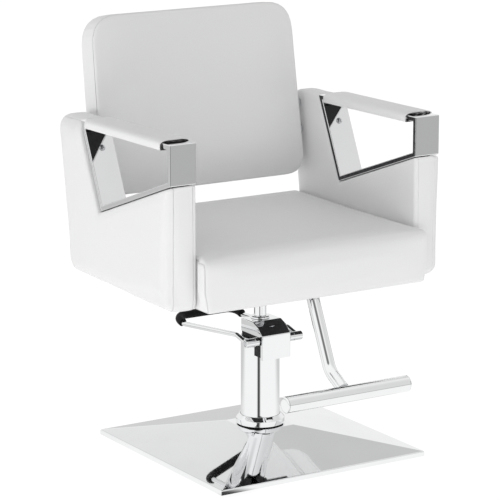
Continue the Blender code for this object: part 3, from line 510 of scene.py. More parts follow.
def puff(piece, tune, held):  # even mesh, then a short inflation with a capped swell
    hold(piece)
    piece.data.remesh_voxel_size = tune["voxel"]
    bpy.ops.object.voxel_remesh()
    stage = bpy.context.scene
    kept = piece.vertex_groups.new(name="kept")
    kept.add([vertex.index for vertex in piece.data.vertices if held(vertex.co)], 1.0, "REPLACE")
    cloth = piece.modifiers.new("inflate", "CLOTH")
    cloth.settings.vertex_group_mass = "kept"
    cloth.settings.use_pressure = True
    cloth.settings.uniform_pressure_force = tune["pressure"]
    cloth.settings.effector_weights.gravity = 0.0
    cloth.settings.tension_stiffness = cloth.settings.compression_stiffness = tune["stretch"]
    cloth.point_cache.frame_end = tune["frames"]
    for step in range(1, tune["frames"] + 1):
        stage.frame_set(step)
    swollen = piece.evaluated_get(bpy.context.evaluated_depsgraph_get())
    targets = [vertex.co.copy() for vertex in swollen.data.vertices]
    piece.modifiers.remove(cloth)
    stage.frame_set(1)
    swells = [target - vertex.co for vertex, target in zip(piece.data.vertices, targets)]
    most = max(swell.length for swell in swells)
    near = [[index] for index in range(len(swells))]
    for link in piece.data.edges:
        first, second = link.vertices
        near[first].append(second)
        near[second].append(first)
    for step in range(tune["calm"]):  # evens out the wrinkles
        swells = [sum((swells[index] for index in ring), Vector()) / len(ring) for ring in near]
    for vertex, swell in zip(piece.data.vertices, swells):
        vertex.co += swell * min(1.0, tune["cap"] / max(swell.length, 0.000001))
    piece.vertex_groups.clear()
    print("inflated", piece.name, "free swell", round(most * 1000, 1), "mm")
    applyModifier(piece, "SUBSURF", levels=1, render_levels=1)


def sewLine(piece, place, axis, width, dark, ahead=1.0):  # a groove where a plane meets the skin, with painted shade along it
    across = [1.0 if index == axis else 0.0 for index in range(3)]
    edit(piece)
    for shift in (-width, 0.0, width):
        pickAll()
        bpy.ops.mesh.bisect(plane_co=Vector(place) + Vector(across) * shift, plane_no=across)
    pick(piece, "VERT", lambda vertex: abs(vertex.co[axis] - place[axis]) < 0.0001)
    bpy.ops.transform.shrink_fatten(value=-width * 1.5)
    leave()
    # painted shade: how dark the groove is coloured, kept in the 'seam' attribute, only where y is below
    # 'ahead'
    shade = piece.data.attributes.get("seam") or piece.data.attributes.new("seam", "FLOAT", "POINT")
    for vertex in piece.data.vertices:
        if vertex.select and vertex.co.y < ahead:
            shade.data[vertex.index].value = dark


def footOf(node):  # the way to the middle of a node's lower side
    low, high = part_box(node)
    return Matrix.Translation(((low[0] + high[0]) / 2, (low[1] + high[1]) / 2, low[2]))


def isFold(edge):  # an edge where two faces meet at an angle
    return edge.is_manifold and edge.calc_face_angle() > 0.1


def isEnd(face):  # the many-sided end of a pipe or a loft
    return len(face.verts) > 8


def roundOff(piece, kind, test, offset, segments):  # in edit mode: bevels what passes the test
    pick(piece, kind, test)
    bpy.ops.mesh.bevel(offset=offset, segments=segments, affect="EDGES")


def settlePair(left, slot, node=None, angle=35.0, flat=False):  # a left piece and its mirrored twin
    right = twin(left, left.name.replace("Left", "Right"), mirrorX)
    for piece, side in ((left, "_left"), (right, "_right")):
        settle(piece, "chair", slot, [node + side] if node else (), angle, flat)
    return left, right


def makeBase():
    tune = {"half": 0.238, "flat": 0.049, "low": 0.007, "rim": 0.0168, "top": 0.0548, "hole": 0.0409,
            "wall": 0.0022, "fold": 0.002, "near": 0.001}
    diagonal = math.sqrt(2)  # a cone's radius reaches to its corners
    clearPick()
    bpy.ops.mesh.primitive_cone_add(
        vertices=4, radius1=tune["half"] * diagonal, radius2=tune["flat"] * diagonal,
        depth=tune["top"] - tune["rim"], end_fill_type="NGON",
        location=(0, 0, (tune["top"] + tune["rim"]) / 2), rotation=(0, 0, math.pi / 4))
    shell = begin("baseShell")
    edit(shell)
    pick(shell, "FACE", lambda face: abs(face.normal.z) > 0.999)
    bpy.ops.mesh.delete(type="ONLY_FACE")
    pick(shell, "EDGE", lambda edge: all(vertex.co.z < tune["rim"] + tune["near"] for vertex in edge.verts))
    bpy.ops.mesh.extrude_region_move(TRANSFORM_OT_translate={"value": (0, 0, tune["low"] - tune["rim"])})
    bpy.ops.mesh.primitive_circle_add(vertices=64, radius=tune["hole"], location=(0, 0, tune["top"]))
    pick(shell, "EDGE", lambda edge: all(vertex.co.z > tune["top"] - tune["near"] for vertex in edge.verts))
    bpy.ops.mesh.bridge_edge_loops()
    faceOut()
    roundOff(shell, "EDGE", isFold, tune["fold"], 4)
    leave()
    applyModifier(shell, "SOLIDIFY", thickness=tune["wall"], offset=-1.0, use_even_offset=True)
    settle(shell, "base", "chrome", ["base_shell"], 40.0, True)
    print("base: shell")


def makeFeet():
    tune = {"outline": [(0, 0.0067), (0.0118, 0.0067), (0.013, 0.0058), (0.013, 0.0048), (0.0124, 0.0042),
                        (0.013, 0.0036), (0.013, 0.0014), (0.0116, 0), (0.0045, 0), (0.004, 0.0008),
                        (0, 0.0008)]}
    foot = turnedPiece("rubberFoot", tune["outline"], 48)
    for end in ("front", "rear"):
        for side in ("left", "right"):
            node = f"rubber_foot_{end}_{side}"
            copy = twin(foot, f"rubberFoot{end.title()}{side.title()}", footOf(node))
            settle(copy, "base", "black_rubber", [node])
    bpy.data.objects.remove(foot)
    print("base: feet")


def makePump():
    tune = {  # slot, node and outline of each turned piece, as (radius, height)
        "pumpTube": ("chrome", "pump_tube", [
            (0.036, 0.0236), (0.0403, 0.0236), (0.0403, 0.0752), (0.0401, 0.0764), (0.0392, 0.0865),
            (0.039, 0.0888), (0.039, 0.2304), (0.0384, 0.231), (0.036, 0.231)]),
        "collarRing": ("chrome", "collar", [
            (0.0407, 0.057), (0.0484, 0.057), (0.0491, 0.0577), (0.0491, 0.0673), (0.0487, 0.0682),
            (0.0426, 0.0754), (0.0416, 0.0759), (0.0407, 0.0759)]),
        "collarGasket": ("black_rubber", "collar_gasket", [
            (0.0406, 0.0551), (0.046, 0.0551), (0.0465, 0.0558), (0.046, 0.0566), (0.0406, 0.0566)]),
        "glandNut": ("chrome", "gland_nut", [
            (0.0127, 0.2733), (0.0189, 0.2733), (0.0192, 0.2737), (0.0192, 0.2768), (0.0178, 0.2783),
            (0.0134, 0.2783), (0.0127, 0.2777)]),
    }
    for name, (slot, node, outline) in tune.items():
        settle(turnedPiece(name, outline), "base", slot, [node], flat=name == "collarRing")
    print("pump: tube, collar, gasket, nut")


def makeHeadCover():
    tune = {"width": 0.067, "wall": 0.0015, "fold": 0.002, "hole": 0.0163, "cut": 0.02, "top": 0.273,
            "rear": 0.018, "skirt": 0.247, "front": -0.0606, "return": -0.0542, "low": 0.201}
    side = [(tune["rear"], tune["top"]), (-0.0266, tune["top"]), (-0.0436, 0.266), (tune["front"], 0.251),
            (tune["front"], tune["low"]), (tune["return"], tune["low"]), (tune["return"], tune["skirt"]),
            (tune["rear"], tune["skirt"])]
    half = tune["width"] / 2
    cover = loftPiece("headCover", [[Vector((x, y, z)) for y, z in side] for x in (-half, half)])
    openSides = [(Vector(start) + Vector(end)) / 2 for start, end in zip(side[4:], side[5:] + side[:1])]

    def isOpen(face):
        middle = face.calc_center_median()
        return abs(face.normal.x) < 0.1 and any((middle.yz - spot).length < 0.001 for spot in openSides)

    edit(cover)
    pick(cover, "FACE", isOpen)
    bpy.ops.mesh.delete(type="FACE")
    roundOff(cover, "EDGE", isFold, tune["fold"], 3)
    leave()
    applyModifier(cover, "SOLIDIFY", thickness=tune["wall"], offset=-1.0, use_even_offset=True)
    clearPick()
    bpy.ops.mesh.primitive_cylinder_add(vertices=64, radius=tune["hole"], depth=tune["cut"],
                                        location=(0, 0, tune["top"]))
    cutAway(cover, begin("ramHole"))
    settle(cover, "base", "chrome", ["head_cover"], 40.0, True)
    print("pump: cover")


def makeRam():
    tune = {"rod": 0.0124, "tip": 0.0112, "taper": 0.312, "bore": 0.0131, "boreTop": 0.0119, "socket": 0.0202,
            "edge": 0.001, "neck": (0.0214, 0.0035), "neckLow": 0.006, "head": 0.0238}
    low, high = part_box("ram_rod")
    ram = turnedPiece("ramRod", [(0, low[2]), (tune["rod"], low[2]), (tune["rod"], tune["taper"]),
                                 (tune["tip"], high[2]), (0, high[2])])
    settle(ram, "chair", "chrome", ["ram_rod"])
    low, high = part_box("seat_socket")
    wide, (neck, neckDown) = tune["socket"], tune["neck"]
    socket = turnedPiece("seatSocket", [
        (tune["bore"], low[2]), (wide - tune["edge"], low[2]), (wide, low[2] + tune["edge"]),
        (wide, high[2] - tune["neckLow"]), (neck, high[2] - neckDown), (tune["head"], high[2]),
        (tune["boreTop"], high[2])])
    settle(socket, "chair", "zinc_steel", ["seat_socket"])
    print("ram: rod and socket")


def makeLever():
    tune = {"pivot": (0, -0.0477, 0.2382), "rod": 0.005, "bend": 0.022, "reach": 0.2597, "half": 0.071,
            "short": 0.034, "dip": -0.008, "rise": 0.001, "start": (0.060, 0.0045, 0),
            "knee": (0.060, 0.040, 0.009), "hubPlace": 0.051, "hubBore": 0.0053, "hub": 0.009, "hubEnd": 0.015,
            "bevel": 0.0008, "groove": 0.0006, "grip": 0.0086, "gripStart": 0.006, "gripEdge": 0.0018,
            "shaft": 0.005, "shaftEnd": 0.066}
    pivot = Vector(tune["pivot"])
    crosswise = Matrix.Rotation(math.pi / 2, 4, "Y")
    second = Vector((tune["half"], tune["reach"] - tune["short"], tune["dip"]))
    corner = Vector((tune["half"], tune["reach"], tune["rise"]))
    side = [Vector(tune["start"]), Vector(tune["knee"]), second, corner]
    flip = Matrix.Diagonal((-1, 1, 1))
    whole = [flip @ spot for spot in side] + side[::-1]
    rod = pipePiece("leverRod", [spot + pivot for spot in bentPath(whole, tune["bend"])], tune["rod"])
    wide, end, bevel = tune["hub"], tune["hubEnd"], tune["bevel"]
    narrow, grooved = wide - bevel, wide - tune["groove"]
    hub = turnedPiece("hub", [
        (tune["hubBore"], -end), (narrow, -end), (wide, bevel - end), (wide, -0.0062), (grooved, -0.0058),
        (grooved, -0.0046), (wide, -0.0042), (wide, end - bevel), (narrow, end), (tune["hubBore"], end)], 48)
    hub.data.transform(Matrix.Translation(pivot + Vector((tune["hubPlace"], 0, 0))) @ crosswise)
    rod = weld("leverRod", rod, hub, twin(hub, "otherHub", mirrorX))
    settle(rod, "lever", "chrome", ["lever_rod"])

    start = second + (corner - second).normalized() * tune["gripStart"]
    loop = [flip @ start, flip @ corner, corner, start]
    grip = pipePiece("leverGrip", [spot + pivot for spot in bentPath(loop, tune["bend"])], tune["grip"], 10)
    edit(grip)
    roundOff(grip, "FACE", isEnd, tune["gripEdge"], 3)
    leave()
    settle(grip, "lever", "black_rubber", ["lever_grip"], 50.0)

    wide, end = tune["shaft"], tune["shaftEnd"]
    narrow = wide - bevel
    shaft = turnedPiece("leverShaft", [(0, -end), (narrow, -end), (wide, bevel - end), (wide, end - bevel),
                                       (narrow, end), (0, end)], 48)
    shaft.data.transform(Matrix.Translation(pivot) @ crosswise)
    settle(shaft, "lever", "zinc_steel", ["lever_shaft"])
    print("lever: rod, grip, shaft")


def makeSpring():
    tune = {"wire": 0.0007, "turns": 3, "points": 24, "stroke": 0.0078}
    low, high = (Vector(corner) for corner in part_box("return_spring"))
    middle, radius = (low + high) / 2, (high.x - low.x) / 2 - tune["wire"]
    bottom, length = low.z + tune["wire"], high.z - low.z - 2 * tune["wire"]
    count = tune["turns"] * tune["points"]
    path = []
    for index in range(count + 1):
        turn = math.tau * index / tune["points"]
        path.append(Vector((middle.x + radius * math.cos(turn), middle.y + radius * math.sin(turn),
                            bottom + length * index / count)))
    spring = pipePiece("returnSpring", path, tune["wire"], 3)
    settle(spring, "plunger", "zinc_steel", ["return_spring"], 60.0)
    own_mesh(spring)
    print("spring:", round((high.z - low.z) * 1000, 2), "mm long at rest")


def makeFootrest():
    tune = {"radius": 0.016, "bore": 0.014, "length": 0.278, "place": (0, -0.309, 0.189), "plugDepth": 0.010,
            "plug": 0.0137, "cap": [(0.0158, 0.0003), (0.0161, 0.0008), (0.0159, 0.0018),
                                          (0.0145, 0.0029), (0.0100, 0.0033), (0, 0.0033)]}
    place = Matrix.Translation(tune["place"]) @ Matrix.Rotation(math.pi / 2, 4, "Y")
    end, radius, bore, plug = tune["length"] / 2, tune["radius"], tune["bore"], tune["plug"]
    bar = turnedPiece("footrestBar", [(bore, -end), (radius, -end), (radius, end), (bore, end)])
    bar.data.transform(place)
    settle(bar, "chair", "chrome", ["footrest_bar"])
    dome = [(wide, end + rise) for wide, rise in tune["cap"]]
    cap = turnedPiece("footrestCapLeft", [(0, end - tune["plugDepth"]), (plug, end - tune["plugDepth"]),
                                          (plug, dome[0][1])] + dome)
    cap.data.transform(place)
    settlePair(cap, "chrome", "footrest_cap")
    print("footrest: bar and caps")


def makeStem():
    tune = {"run": [(0, -0.187, 0.3585), (0, -0.251, 0.221), (0, -0.2953, 0.19656)], "stem": 0.0125,
            "bend": 0.045, "low": (-0.040, -0.209, 0.3577), "high": (0.040, -0.119, 0.3617),
            "corner": 0.010, "edge": 0.0006,
            "bead": 0.0018, "beadPlace": (0, -0.1878, 0.3568), "beadRound": (0.0132, 0.0150), "beadSteps": 48}
    stem = pipePiece("footrestStem", bentPath(tune["run"], tune["bend"], 20), tune["stem"], 14)
    clearPick()
    low, high = Vector(tune["low"]), Vector(tune["high"])
    bpy.ops.mesh.primitive_cube_add(size=1.0, location=(low + high) / 2, scale=high - low)
    flange = begin("flange")
    edit(flange)
    roundOff(flange, "EDGE", lambda edge: abs((edge.verts[0].co - edge.verts[1].co).normalized().z) > 0.9,
             tune["corner"], 6)
    roundOff(flange, "EDGE", lambda edge: edge.calc_face_angle() > 1.0, tune["edge"], 2)
    leave()
    wide, deep = tune["beadRound"]  # the bead goes round the stem's slanted cut
    turns = [math.tau * step / tune["beadSteps"] for step in range(tune["beadSteps"] + 1)]
    around = [Vector(tune["beadPlace"]) + Vector((wide * math.cos(turn), deep * math.sin(turn), 0))
              for turn in turns]
    bead = pipePiece("weldBead", around, tune["bead"], 4)
    stem = weld("footrestStem", stem, flange, bead)
    settle(stem, "chair", "chrome", ["footrest_stem"], 40.0)
    print("footrest: stem with its flange")


def makeBolts():
    tune = {"hex": 0.0063, "head": 0.0042, "edge": 0.0008, "washer": 0.0065, "washerTop": 0.005, "shank": 0.004}
    nodes = [f"seat_plate_bolt_{index}" for index in (1, 2, 3, 4)] + ["footrest_bolt_1", "footrest_bolt_2"]
    low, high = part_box(nodes[0])
    head, top, shank, length = tune["head"], tune["washerTop"], tune["shank"], high[2] - low[2]
    clearPick()
    bpy.ops.mesh.primitive_cylinder_add(vertices=6, radius=tune["hex"], depth=head, location=(0, 0, head / 2))
    bolt = begin("hexBolt")
    edit(bolt)
    roundOff(bolt, "EDGE", lambda edge: all(vertex.co.z < 0.001 for vertex in edge.verts), tune["edge"], 2)
    leave()
    washer = turnedPiece("washer", [(0, head), (tune["washer"], head), (tune["washer"], top), (shank, top),
                                    (shank, length), (0, length)], 32)
    bolt = weld("hexBolt", bolt, washer)
    for node in nodes:
        copy = twin(bolt, "hexBolt" + node.title().replace("_", ""), footOf(node))
        settle(copy, "chair", "zinc_steel", [node], 25.0)
    bpy.data.objects.remove(bolt)
    print("bolts:", len(nodes))


armFrame = {"inside": 0.2513, "width": 0.057, "bar": 0.010, "edge": 0.0015,  # corners as (y, z)
            "corners": [(-0.173, 0.602), (0.095, 0.507), (0.172, 0.677), (-0.173, 0.681)]}
armMiddle = armFrame["inside"] + armFrame["width"] / 2


def makeArmFrames():
    clearPick()
    bpy.ops.mesh.primitive_circle_add(vertices=4, radius=0.1, fill_type="NGON")
    loop = begin("armFrameLeft")
    for vertex, (y, z) in zip(loop.data.vertices, armFrame["corners"]):
        vertex.co = (armFrame["inside"], y, z)
    edit(loop)
    bpy.ops.mesh.select_mode(type="FACE")
    pickAll()
    bpy.ops.mesh.inset(thickness=armFrame["bar"], use_even_offset=True)
    bpy.ops.mesh.delete(type="FACE")
    pickAll()
    bpy.ops.mesh.extrude_region_move(TRANSFORM_OT_translate={"value": (armFrame["width"], 0, 0)})
    faceOut()
    roundOff(loop, "EDGE", isFold, armFrame["edge"], 3)
    leave()
    loop.data.materials.append(finishes["chrome"])
    loop.data.materials.append(makePaintedReflection())
    for face in loop.data.polygons:
        if face.normal.x < -0.99:  # the inner side of the loop, coloured with the painted dark reflection
            face.material_index = 1
    settlePair(loop, "chrome", "arm_frame", 40.0, True)
    print("arms: frames")


def makePads():
    tune = {"crown": 0.0055, "skin": 0.0022, "run": (0.030, 0.320), "outer": 0.0336, "inner": 0.0316,
            "hook": 0.0290, "spring": -0.004, "full": (0.5, 0.85), "hang": 0.0022, "lip": 0.0018,
            "edge": 0.0006, "steps": 12, "fill": 0.9, "gap": 0.0002, "shadeFillBack": 0.004, "slot": 0.0287,
            "clear": 0.0003, "strip": 0.0016, "stripRun": (0.001, 0.006)}
    front, rear = Vector(armFrame["corners"][3]), Vector(armFrame["corners"][2])
    along = (rear - front).normalized()
    up = Vector((-along.y, along.x))
    under = -armFrame["bar"] - tune["hang"]
    outer, inner, hook, spring = tune["outer"], tune["inner"], tune["hook"], tune["spring"]
    crown, hollow = tune["crown"], tune["crown"] - tune["skin"]
    turns = [math.pi / 2 * step / 14 for step in range(14)]

    def across(section, run):  # sets a section of (x, height) across the frame's top bar
        spots = [(x, front + along * run + up * height) for x, height in section]
        return [Vector((armMiddle + x, spot.x, spot.y)) for x, spot in spots]

    def archLine(half, top):  # half of a rounded top, from its side to its crown
        wide, tall = tune["full"]
        return [(half * math.cos(turn) ** wide, spring + (top - spring) * math.sin(turn) ** tall)
                for turn in turns] + [(0.0, top)]

    low = under - tune["lip"]
    half = [(hook, under), (hook, low), (outer - 0.004, low), (outer - 0.001, under - 0.0008),
            (outer, under + 0.002)] + archLine(outer, crown)
    inside = [(inner, under)] + archLine(inner, hollow)
    section = half + [(-x, height) for x, height in half[-2::-1]]
    section += [(-x, height) for x, height in inside] + inside[-2::-1]
    first, last = tune["run"]
    runs = [first + (last - first) * step / tune["steps"] for step in range(tune["steps"] + 1)]
    sleeve = loftPiece("armPadLeft", [across(section, run) for run in runs])
    edit(sleeve)
    roundOff(sleeve, "FACE", isEnd, tune["edge"], 2)
    leave()
    for piece in settlePair(sleeve, "white_vinyl", "arm_pad", 40.0):
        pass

    gap, slot = tune["gap"], tune["slot"]  # a black filling between the sleeve and the bar, and a black strip under the bar: dark pieces that stand in for the shade in the gap at the sleeve's open ends
    shadeFill = [(inner - gap / 2, under + gap)] + archLine(inner - gap / 2, hollow - gap)
    shadeFill += [(-x, height) for x, height in shadeFill[-2::-1]]
    shadeFill += [(-slot, under + gap), (-slot, tune["clear"]), (slot, tune["clear"]), (slot, under + gap)]
    ends = (first + tune["shadeFillBack"], last - tune["shadeFillBack"])
    shadeFiller = loftPiece("padCoreLeft", [across(shadeFill, run) for run in ends])
    lip, top = hook - 0.0004, -armFrame["bar"] - tune["clear"]
    low = under - tune["strip"]
    ends = (first + tune["stripRun"][0], last - tune["stripRun"][1])
    plate = [(lip, top), (-lip, top), (-lip, low), (lip, low)]
    strip = loftPiece("strip", [across(plate, run) for run in ends])
    settlePair(weld("padCoreLeft", shadeFiller, strip), "black_rubber")
    print("arms: pads")


def makeScrews():
    tune = {"into": (0, 0.910916, -0.412591), "place": (0.137175, 0.62435), "proud": 0.0003,
            "outline": [(0, -0.046), (0.0025, -0.046), (0.0025, 0), (0.0063, 0), (0.0063, 0.0007),
                        (0.0056, 0.0018), (0.0039, 0.0026), (0.0020, 0.0029), (0, 0.0029)],
            "cross": (0.0072, 0.0013, 0.0026), "crossTop": 0.0025, "crossTurn": 0.5}
    screw = turnedPiece("armScrewLeft", tune["outline"], 40)
    for turn in (0.0, math.pi / 2):
        clearPick()
        bpy.ops.mesh.primitive_cube_add(size=1.0, location=(0, 0, tune["crossTop"]), scale=tune["cross"],
                                        rotation=(0, 0, turn + tune["crossTurn"]))
        cutAway(screw, begin("cross"))
    into = Vector(tune["into"])
    seat = Vector((armMiddle, *tune["place"])) - into * tune["proud"]
    turn = Vector((0, 0, 1)).rotation_difference(-into).to_matrix().to_4x4()
    screw.data.transform(Matrix.Translation(seat) @ turn)
    settlePair(screw, "zinc_steel", "arm_screw")
    print("arms: screws")


def shareOf(value, length):  # how far along a length, from 0 to 1
    return min(max(value / length, 0.0), 1.0)


def eased(share):
    return share ** 2 * (3 - 2 * share)


def makeSeat():
    tune = {"half": 0.250, "front": -0.214, "rear": 0.252, "low": 0.362, "top": 0.4635, "edge": 0.021,
            "tuck": 0.003, "crown": 0.003, "rise": ((0.2, 0.55), (0.45, 0.9), (0.7, 1.0)), "corners": 0.006,
            "shares": (1.0, 0.3, 0.3, 0.3), "voxel": 0.006, "pressure": 4.0, "stretch": 15.0, "cap": 0.004,
            "frames": 20, "calm": 5, "held": (0.004, 0.005, 0.006), "fill": 0.9, "seamPlace": 0.2485,
            "seam": 0.0008, "seamShade": 0.3,
            "bulge": 0.009, "bulgeFront": -0.1765, "bulgeRun": 0.014, "bulgeSide": (0.225, 0.025),
            "bulgeHeight": 0.040, "sag": 0.0045, "rimFront": -0.196, "rimSide": 0.230, "rimRun": 0.014,
            "sagHeight": 0.050, "coverWide": 0.215, "coverFront": -0.203, "coverRear": 0.128}
    half, low, top, edge = tune["half"], tune["low"], tune["top"], tune["edge"]
    corners = [(-half, tune["front"]), (half, tune["front"]), (half, tune["rear"]), (-half, tune["rear"])]
    profile = quarterRound(low + tune["tuck"], tune["tuck"], -1, 3)[::-1] + quarterRound(top - edge, edge, 1)
    profile += [(top + tune["crown"] * rise, edge + run * half) for run, rise in tune["rise"]]
    rings = paddedRings(corners, [tune["corners"]] * 4, tune["shares"], profile,
                        lambda x, y, level: (x, y, level))
    seat = loftPiece("seatCushion", rings)
    side, rear, bottom = tune["held"]  # strips that don't swell
    puff(seat, tune, lambda spot: abs(spot.x) > half - side or spot.y > tune["rear"] - rear
         or spot.z < low + bottom)
    # seam grooves with painted shade along the seat's sides
    for side in (-1, 1):
        sewLine(seat, (side * tune["seamPlace"], 0, 0), 0, tune["seam"], tune["seamShade"])
    for vertex in seat.data.vertices:  # the front corners swell out past the arms, and the lower rim sags
        spot = vertex.co
        ahead = shareOf(tune["bulgeFront"] - spot.y, tune["bulgeRun"])
        outward = shareOf(abs(spot.x) - tune["bulgeSide"][0], tune["bulgeSide"][1])
        height = shareOf(spot.z - low, tune["bulgeHeight"])
        spot.x += math.copysign(tune["bulge"] * eased(ahead) * outward ** 2 * height, spot.x)
        rim = shareOf(max(tune["rimFront"] - spot.y, abs(spot.x) - tune["rimSide"]), tune["rimRun"])
        spot.z -= tune["sag"] * eased(rim) * (1 - shareOf(spot.z - low, tune["sagHeight"]))
    seat.data.materials.append(finishes["white_vinyl"])
    seat.data.materials.append(makeDustCover())
    for face in seat.data.polygons:  # the dust cover underneath
        x, y, z = face.center
        inside = abs(x) < tune["coverWide"] and tune["coverFront"] < y < tune["coverRear"]
        if inside and face.normal.z < -0.9 and z < low + 0.002:
            face.material_index = 1
    settle(seat, "chair", "white_vinyl", ["seat_cushion"], 60.0)
    print("seat: cushion")


def makeBack():
    tune = {"low": 0.242, "high": 0.235, "length": 0.361, "place": (0, 0.2074, 0.508), "tilt": 8.3,
            "side": 0.041, "rear": 0.017, "waist": 0.02, "front": 0.006, "crown": 0.005,
            "rise": ((0.08, 0.6), (0.2, 0.9), (0.35, 1.0)), "corners": [0.046, 0.046, 0.060, 0.060],
            "voxel": 0.005, "pressure": 4.0, "stretch": 15.0, "cap": 0.0035, "frames": 20, "calm": 16,
            "held": (0.030, 0.005), "fill": 0.85, "seam": 0.0014, "seamShade": 0.8}
    low, high, length, front = tune["low"], tune["high"], tune["length"], tune["front"]
    corners = [(-low, 0), (low, 0), (high, length), (-high, length)]
    profile = quarterRound(tune["side"], tune["rear"], 1)[::-1] + [(tune["waist"], 0.0)]
    profile += quarterRound(0.0, front, -1)[1:]
    profile += [(-front - tune["crown"] * rise, front + run * length) for run, rise in tune["rise"]]
    rings = paddedRings(corners, tune["corners"], (1, 1, 1, 1), profile, lambda x, z, level: (x, level, z))
    back = loftPiece("backCushion", rings)
    rear, seam = tune["held"]  # the rear and the strip at the seam don't swell
    puff(back, tune, lambda spot: spot.y > rear or abs(spot.y) < seam)
    # the seam groove, with painted shade
    sewLine(back, (0, 0, 0), 1, tune["seam"], tune["seamShade"])
    lean = Matrix.Rotation(math.radians(-tune["tilt"]), 4, "X")
    back.data.transform(Matrix.Translation(tune["place"]) @ lean)
    settle(back, "chair", "white_vinyl", ["back_cushion"], 60.0)
    print("back: cushion with its seam")


def offLine(spot, start, end):  # distance from a point to a line's segment, in (y, z)
    start, along = Vector(start), Vector(end) - Vector(start)
    share = min(max((Vector(spot) - start).dot(along) / along.dot(along), 0.0), 1.0)
    return (start + along * share - Vector(spot)).length


def makeArms():
    tune = {"corners": [(-0.173, 0.3555), (0.2352, 0.3640), (0.2800, 0.678), (0.173551, 0.678),
                        (0.095532, 0.50575), (-0.173, 0.600939)],
            "rounds": [0.020, 0.040, 0.040, 0.002, 0.002, 0.002], "shares": (0.4, 1.3, 1.0, 0.08, 0.08, 0.35),
            "inside": 0.2512, "outside": 0.3143, "inner": 0.008, "edge": 0.030, "voxel": 0.006, "pressure": 4.0,
            "stretch": 15.0, "cap": 0.003, "frames": 20, "calm": 5, "fill": 0.9, "held": 0.005,
            "heldLow": 0.360, "seams": (0.2592, 0.3000), "seam": 0.0010, "seamShade": 0.12, "sewn": -0.15}
    corners = tune["corners"]
    profile = quarterRound(tune["inside"] + tune["inner"], tune["inner"], -1, 4)[::-1]
    profile += quarterRound(tune["outside"] - tune["edge"], tune["edge"], 1, 8)
    rings = paddedRings(corners, tune["rounds"], tune["shares"], profile, lambda y, z, level: (level, y, z))
    arm = loftPiece("armCushionLeft", rings)

    def held(spot):  # the inner side, the notch under the frame and the lower edge don't swell
        here = (spot.y, spot.z)
        notch = min(offLine(here, corners[3], corners[4]), offLine(here, corners[4], corners[5]))
        return min(spot.x - tune["inside"], notch) < tune["held"] or spot.z < tune["heldLow"]

    puff(arm, tune, held)
    # seam grooves with painted shade, only ahead of 'sewn' in y
    for level in tune["seams"]:
        sewLine(arm, (level, 0, 0), 0, tune["seam"], tune["seamShade"], tune["sewn"])
    for piece in settlePair(arm, "white_vinyl", "arm_cushion", 60.0):
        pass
    print("arms: cushions")


makeBase()
makeFeet()
makePump()
makeHeadCover()
makeRam()
makeLever()
makeSpring()
makeFootrest()
makeStem()
makeBolts()
makeArmFrames()
makePads()
makeScrews()
makeSeat()
makeBack()
makeArms()


view = {"place": (-2.74645, -4.32500, 1.59195), "aim": (0.5191, 0.8247, -0.2246), "lens": 190.4, "sensor": 36.0,
        "plan": (-0.5361, -0.8441)}  # plan: the way to the camera, seen from above


class Sky(Look):  # the world's nodes
    def __init__(self, name):
        world = bpy.data.worlds.new(name)
        bpy.context.scene.world = world
        world.use_nodes = True
        self.tree = world.node_tree
        self.shader = self.tree.nodes["Background"]


def setFloor():  # white to the camera, and shaded in what the chrome mirrors
    tune = {"room": 40.0, "height": -0.0004, "matte": (0.88, 0.88, 0.88), "rough": 0.9, "seen": 0.85,
            "shown": 1.12, "lift": 1.0, "near": 1.5, "far": 2.7, "dimSpan": (-1.0, 1.0), "dim": (0.25, 0.53),
            "wedge": (0.04, 0.22), "wedgeShade": 0.06, "offset": 0.14, "patchSpread": 1.1, "patchShade": 0.9,
            "backSpan": (-0.45, 0.0), "back": 0.66, "backFar": 0.10}
    clearPick()
    bpy.ops.mesh.primitive_plane_add(size=tune["room"], location=(0, 0, tune["height"]))
    floor = bpy.context.object
    floor.name = "paleFloor"
    cloth = Look("paleFloor", tune["matte"], tune["rough"])
    camera, glossy = cloth.rays()
    other = 1 - camera - glossy
    x, y = cloth.split(cloth.add("ShaderNodeTexCoord", output="Object"))[:2]
    reach = (x * x + y * y) ** 0.5
    ahead = x * view["plan"][0] + y * view["plan"][1]
    right = x * -view["plan"][1] + y * view["plan"][0]
    far = cloth.smooth(reach, tune["near"], tune["far"])
    away = 1 - far * cloth.smooth(right, *tune["dimSpan"], *tune["dim"])
    off = right + ahead * tune["offset"]
    turn = cloth.add("ShaderNodeMath", {"operation": "ARCTAN2"}, {0: (off * off) ** 0.5, 1: ahead})
    lit = cloth.smooth(turn, *tune["wedge"], tune["wedgeShade"])
    spread = (ahead - tune["near"]) * tune["patchSpread"]
    patch = cloth.add("ShaderNodeMath", {"operation": "LESS_THAN"}, {0: (right * right) ** 0.5, 1: spread})
    lit = lit * (1 - patch * tune["patchShade"])
    back = cloth.smooth(ahead, *tune["backSpan"], tune["back"] + far * tune["backFar"])
    shown = camera * tune["shown"] + glossy * away * lit * back + other
    glow = cloth.add("ShaderNodeEmission", None, {"Color": (1.0, 1.0, 1.0, 1.0), "Strength": shown})
    matte = Wire(cloth, cloth.shader.outputs["BSDF"])
    share = camera * tune["seen"] + glossy + other * tune["lift"]
    both = cloth.add("ShaderNodeMixShader", None, {0: share, 1: matte, 2: glow})
    cloth.tree.links.new(both.socket, cloth.tree.nodes["Material Output"].inputs["Surface"])
    floor.data.materials.append(cloth.material)


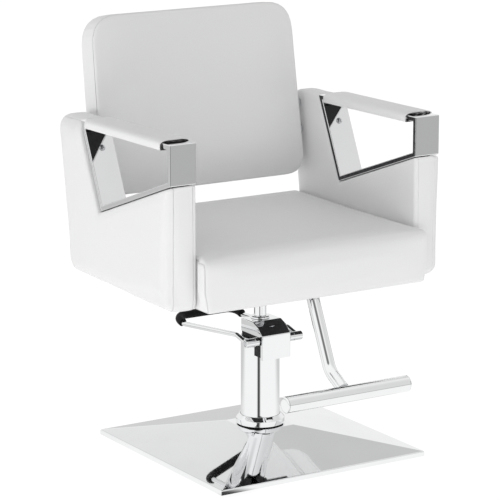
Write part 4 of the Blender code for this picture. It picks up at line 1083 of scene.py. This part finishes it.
def setSky():  # white to the camera, soft light on the chair, and greys in what the chrome mirrors
    tune = {"horizon": 0.42, "zenith": 0.80, "behind": (0.2, 0.8), "rise": (0.38, 0.60), "low": 0.92,
            "high": 0.60, "right": (0.3, 0.8), "rightGrey": 0.24, "patch": (0.86, 0.96), "patchShade": 0.20}
    sky = Sky("softRoom")
    camera, glossy = sky.rays()
    x, y, z = sky.split(sky.add("ShaderNodeTexCoord", output="Generated"))
    soft = sky.add("ShaderNodeMapRange", None, {0: z, 1: 0.0, 2: 1.0, 3: tune["horizon"], 4: tune["zenith"]})
    behind = sky.smooth(x * -view["plan"][0] + y * -view["plan"][1], *tune["behind"])
    high = sky.smooth(z, *tune["rise"], tune["low"], tune["high"])
    right = x * -view["plan"][1] + y * view["plan"][0]
    greyed = sky.smooth(right, *tune["right"], 0.0, tune["rightGrey"])
    facing = sum(part * -side for part, side in zip((x, y, z), view["aim"]))
    patch = sky.smooth(facing, *tune["patch"], 1.0, tune["patchShade"])
    mirrored = (1 - behind * (1 - high) - greyed * (1 - behind)) * patch
    sky.put("Color", (1.0, 1.0, 1.0, 1.0))
    sky.put("Strength", camera + glossy * mirrored + (1 - camera - glossy) * soft)


def setLamps():
    tune = {"sideLamp": {"power": 36.0, "place": (-4.2, 0.2, 0.45), "size": (2.0, 0.9)},
            "frontLamp": {"power": 8.5, "place": (-0.3, -1.5, 0.03), "size": (2.0, 0.5)}}
    aim = Vector((0.0, 0.0, 0.42))
    for name, lamp in tune.items():
        light = bpy.data.lights.new(name, "AREA")
        light.energy = lamp["power"]
        light.shape = "RECTANGLE"
        light.size, light.size_y = lamp["size"]
        stand = bpy.data.objects.new(name, light)
        stand.location = lamp["place"]
        stand.rotation_euler = (aim - Vector(lamp["place"])).to_track_quat("-Z", "Y").to_euler()
        stand.visible_glossy = stand.visible_camera = False
        bpy.context.scene.collection.objects.link(stand)


def setCamera():
    lens = bpy.data.cameras.new("photoCamera")
    lens.lens = view["lens"]
    lens.sensor_width = view["sensor"]
    camera = bpy.data.objects.new("photoCamera", lens)
    camera.location = view["place"]
    camera.rotation_euler = Vector(view["aim"]).to_track_quat("-Z", "Y").to_euler()
    bpy.context.scene.collection.objects.link(camera)
    bpy.context.scene.camera = camera


setFloor()
setSky()
setLamps()
bpy.context.scene.view_settings.view_transform = "Standard"
setCamera()
print("studio and camera set")
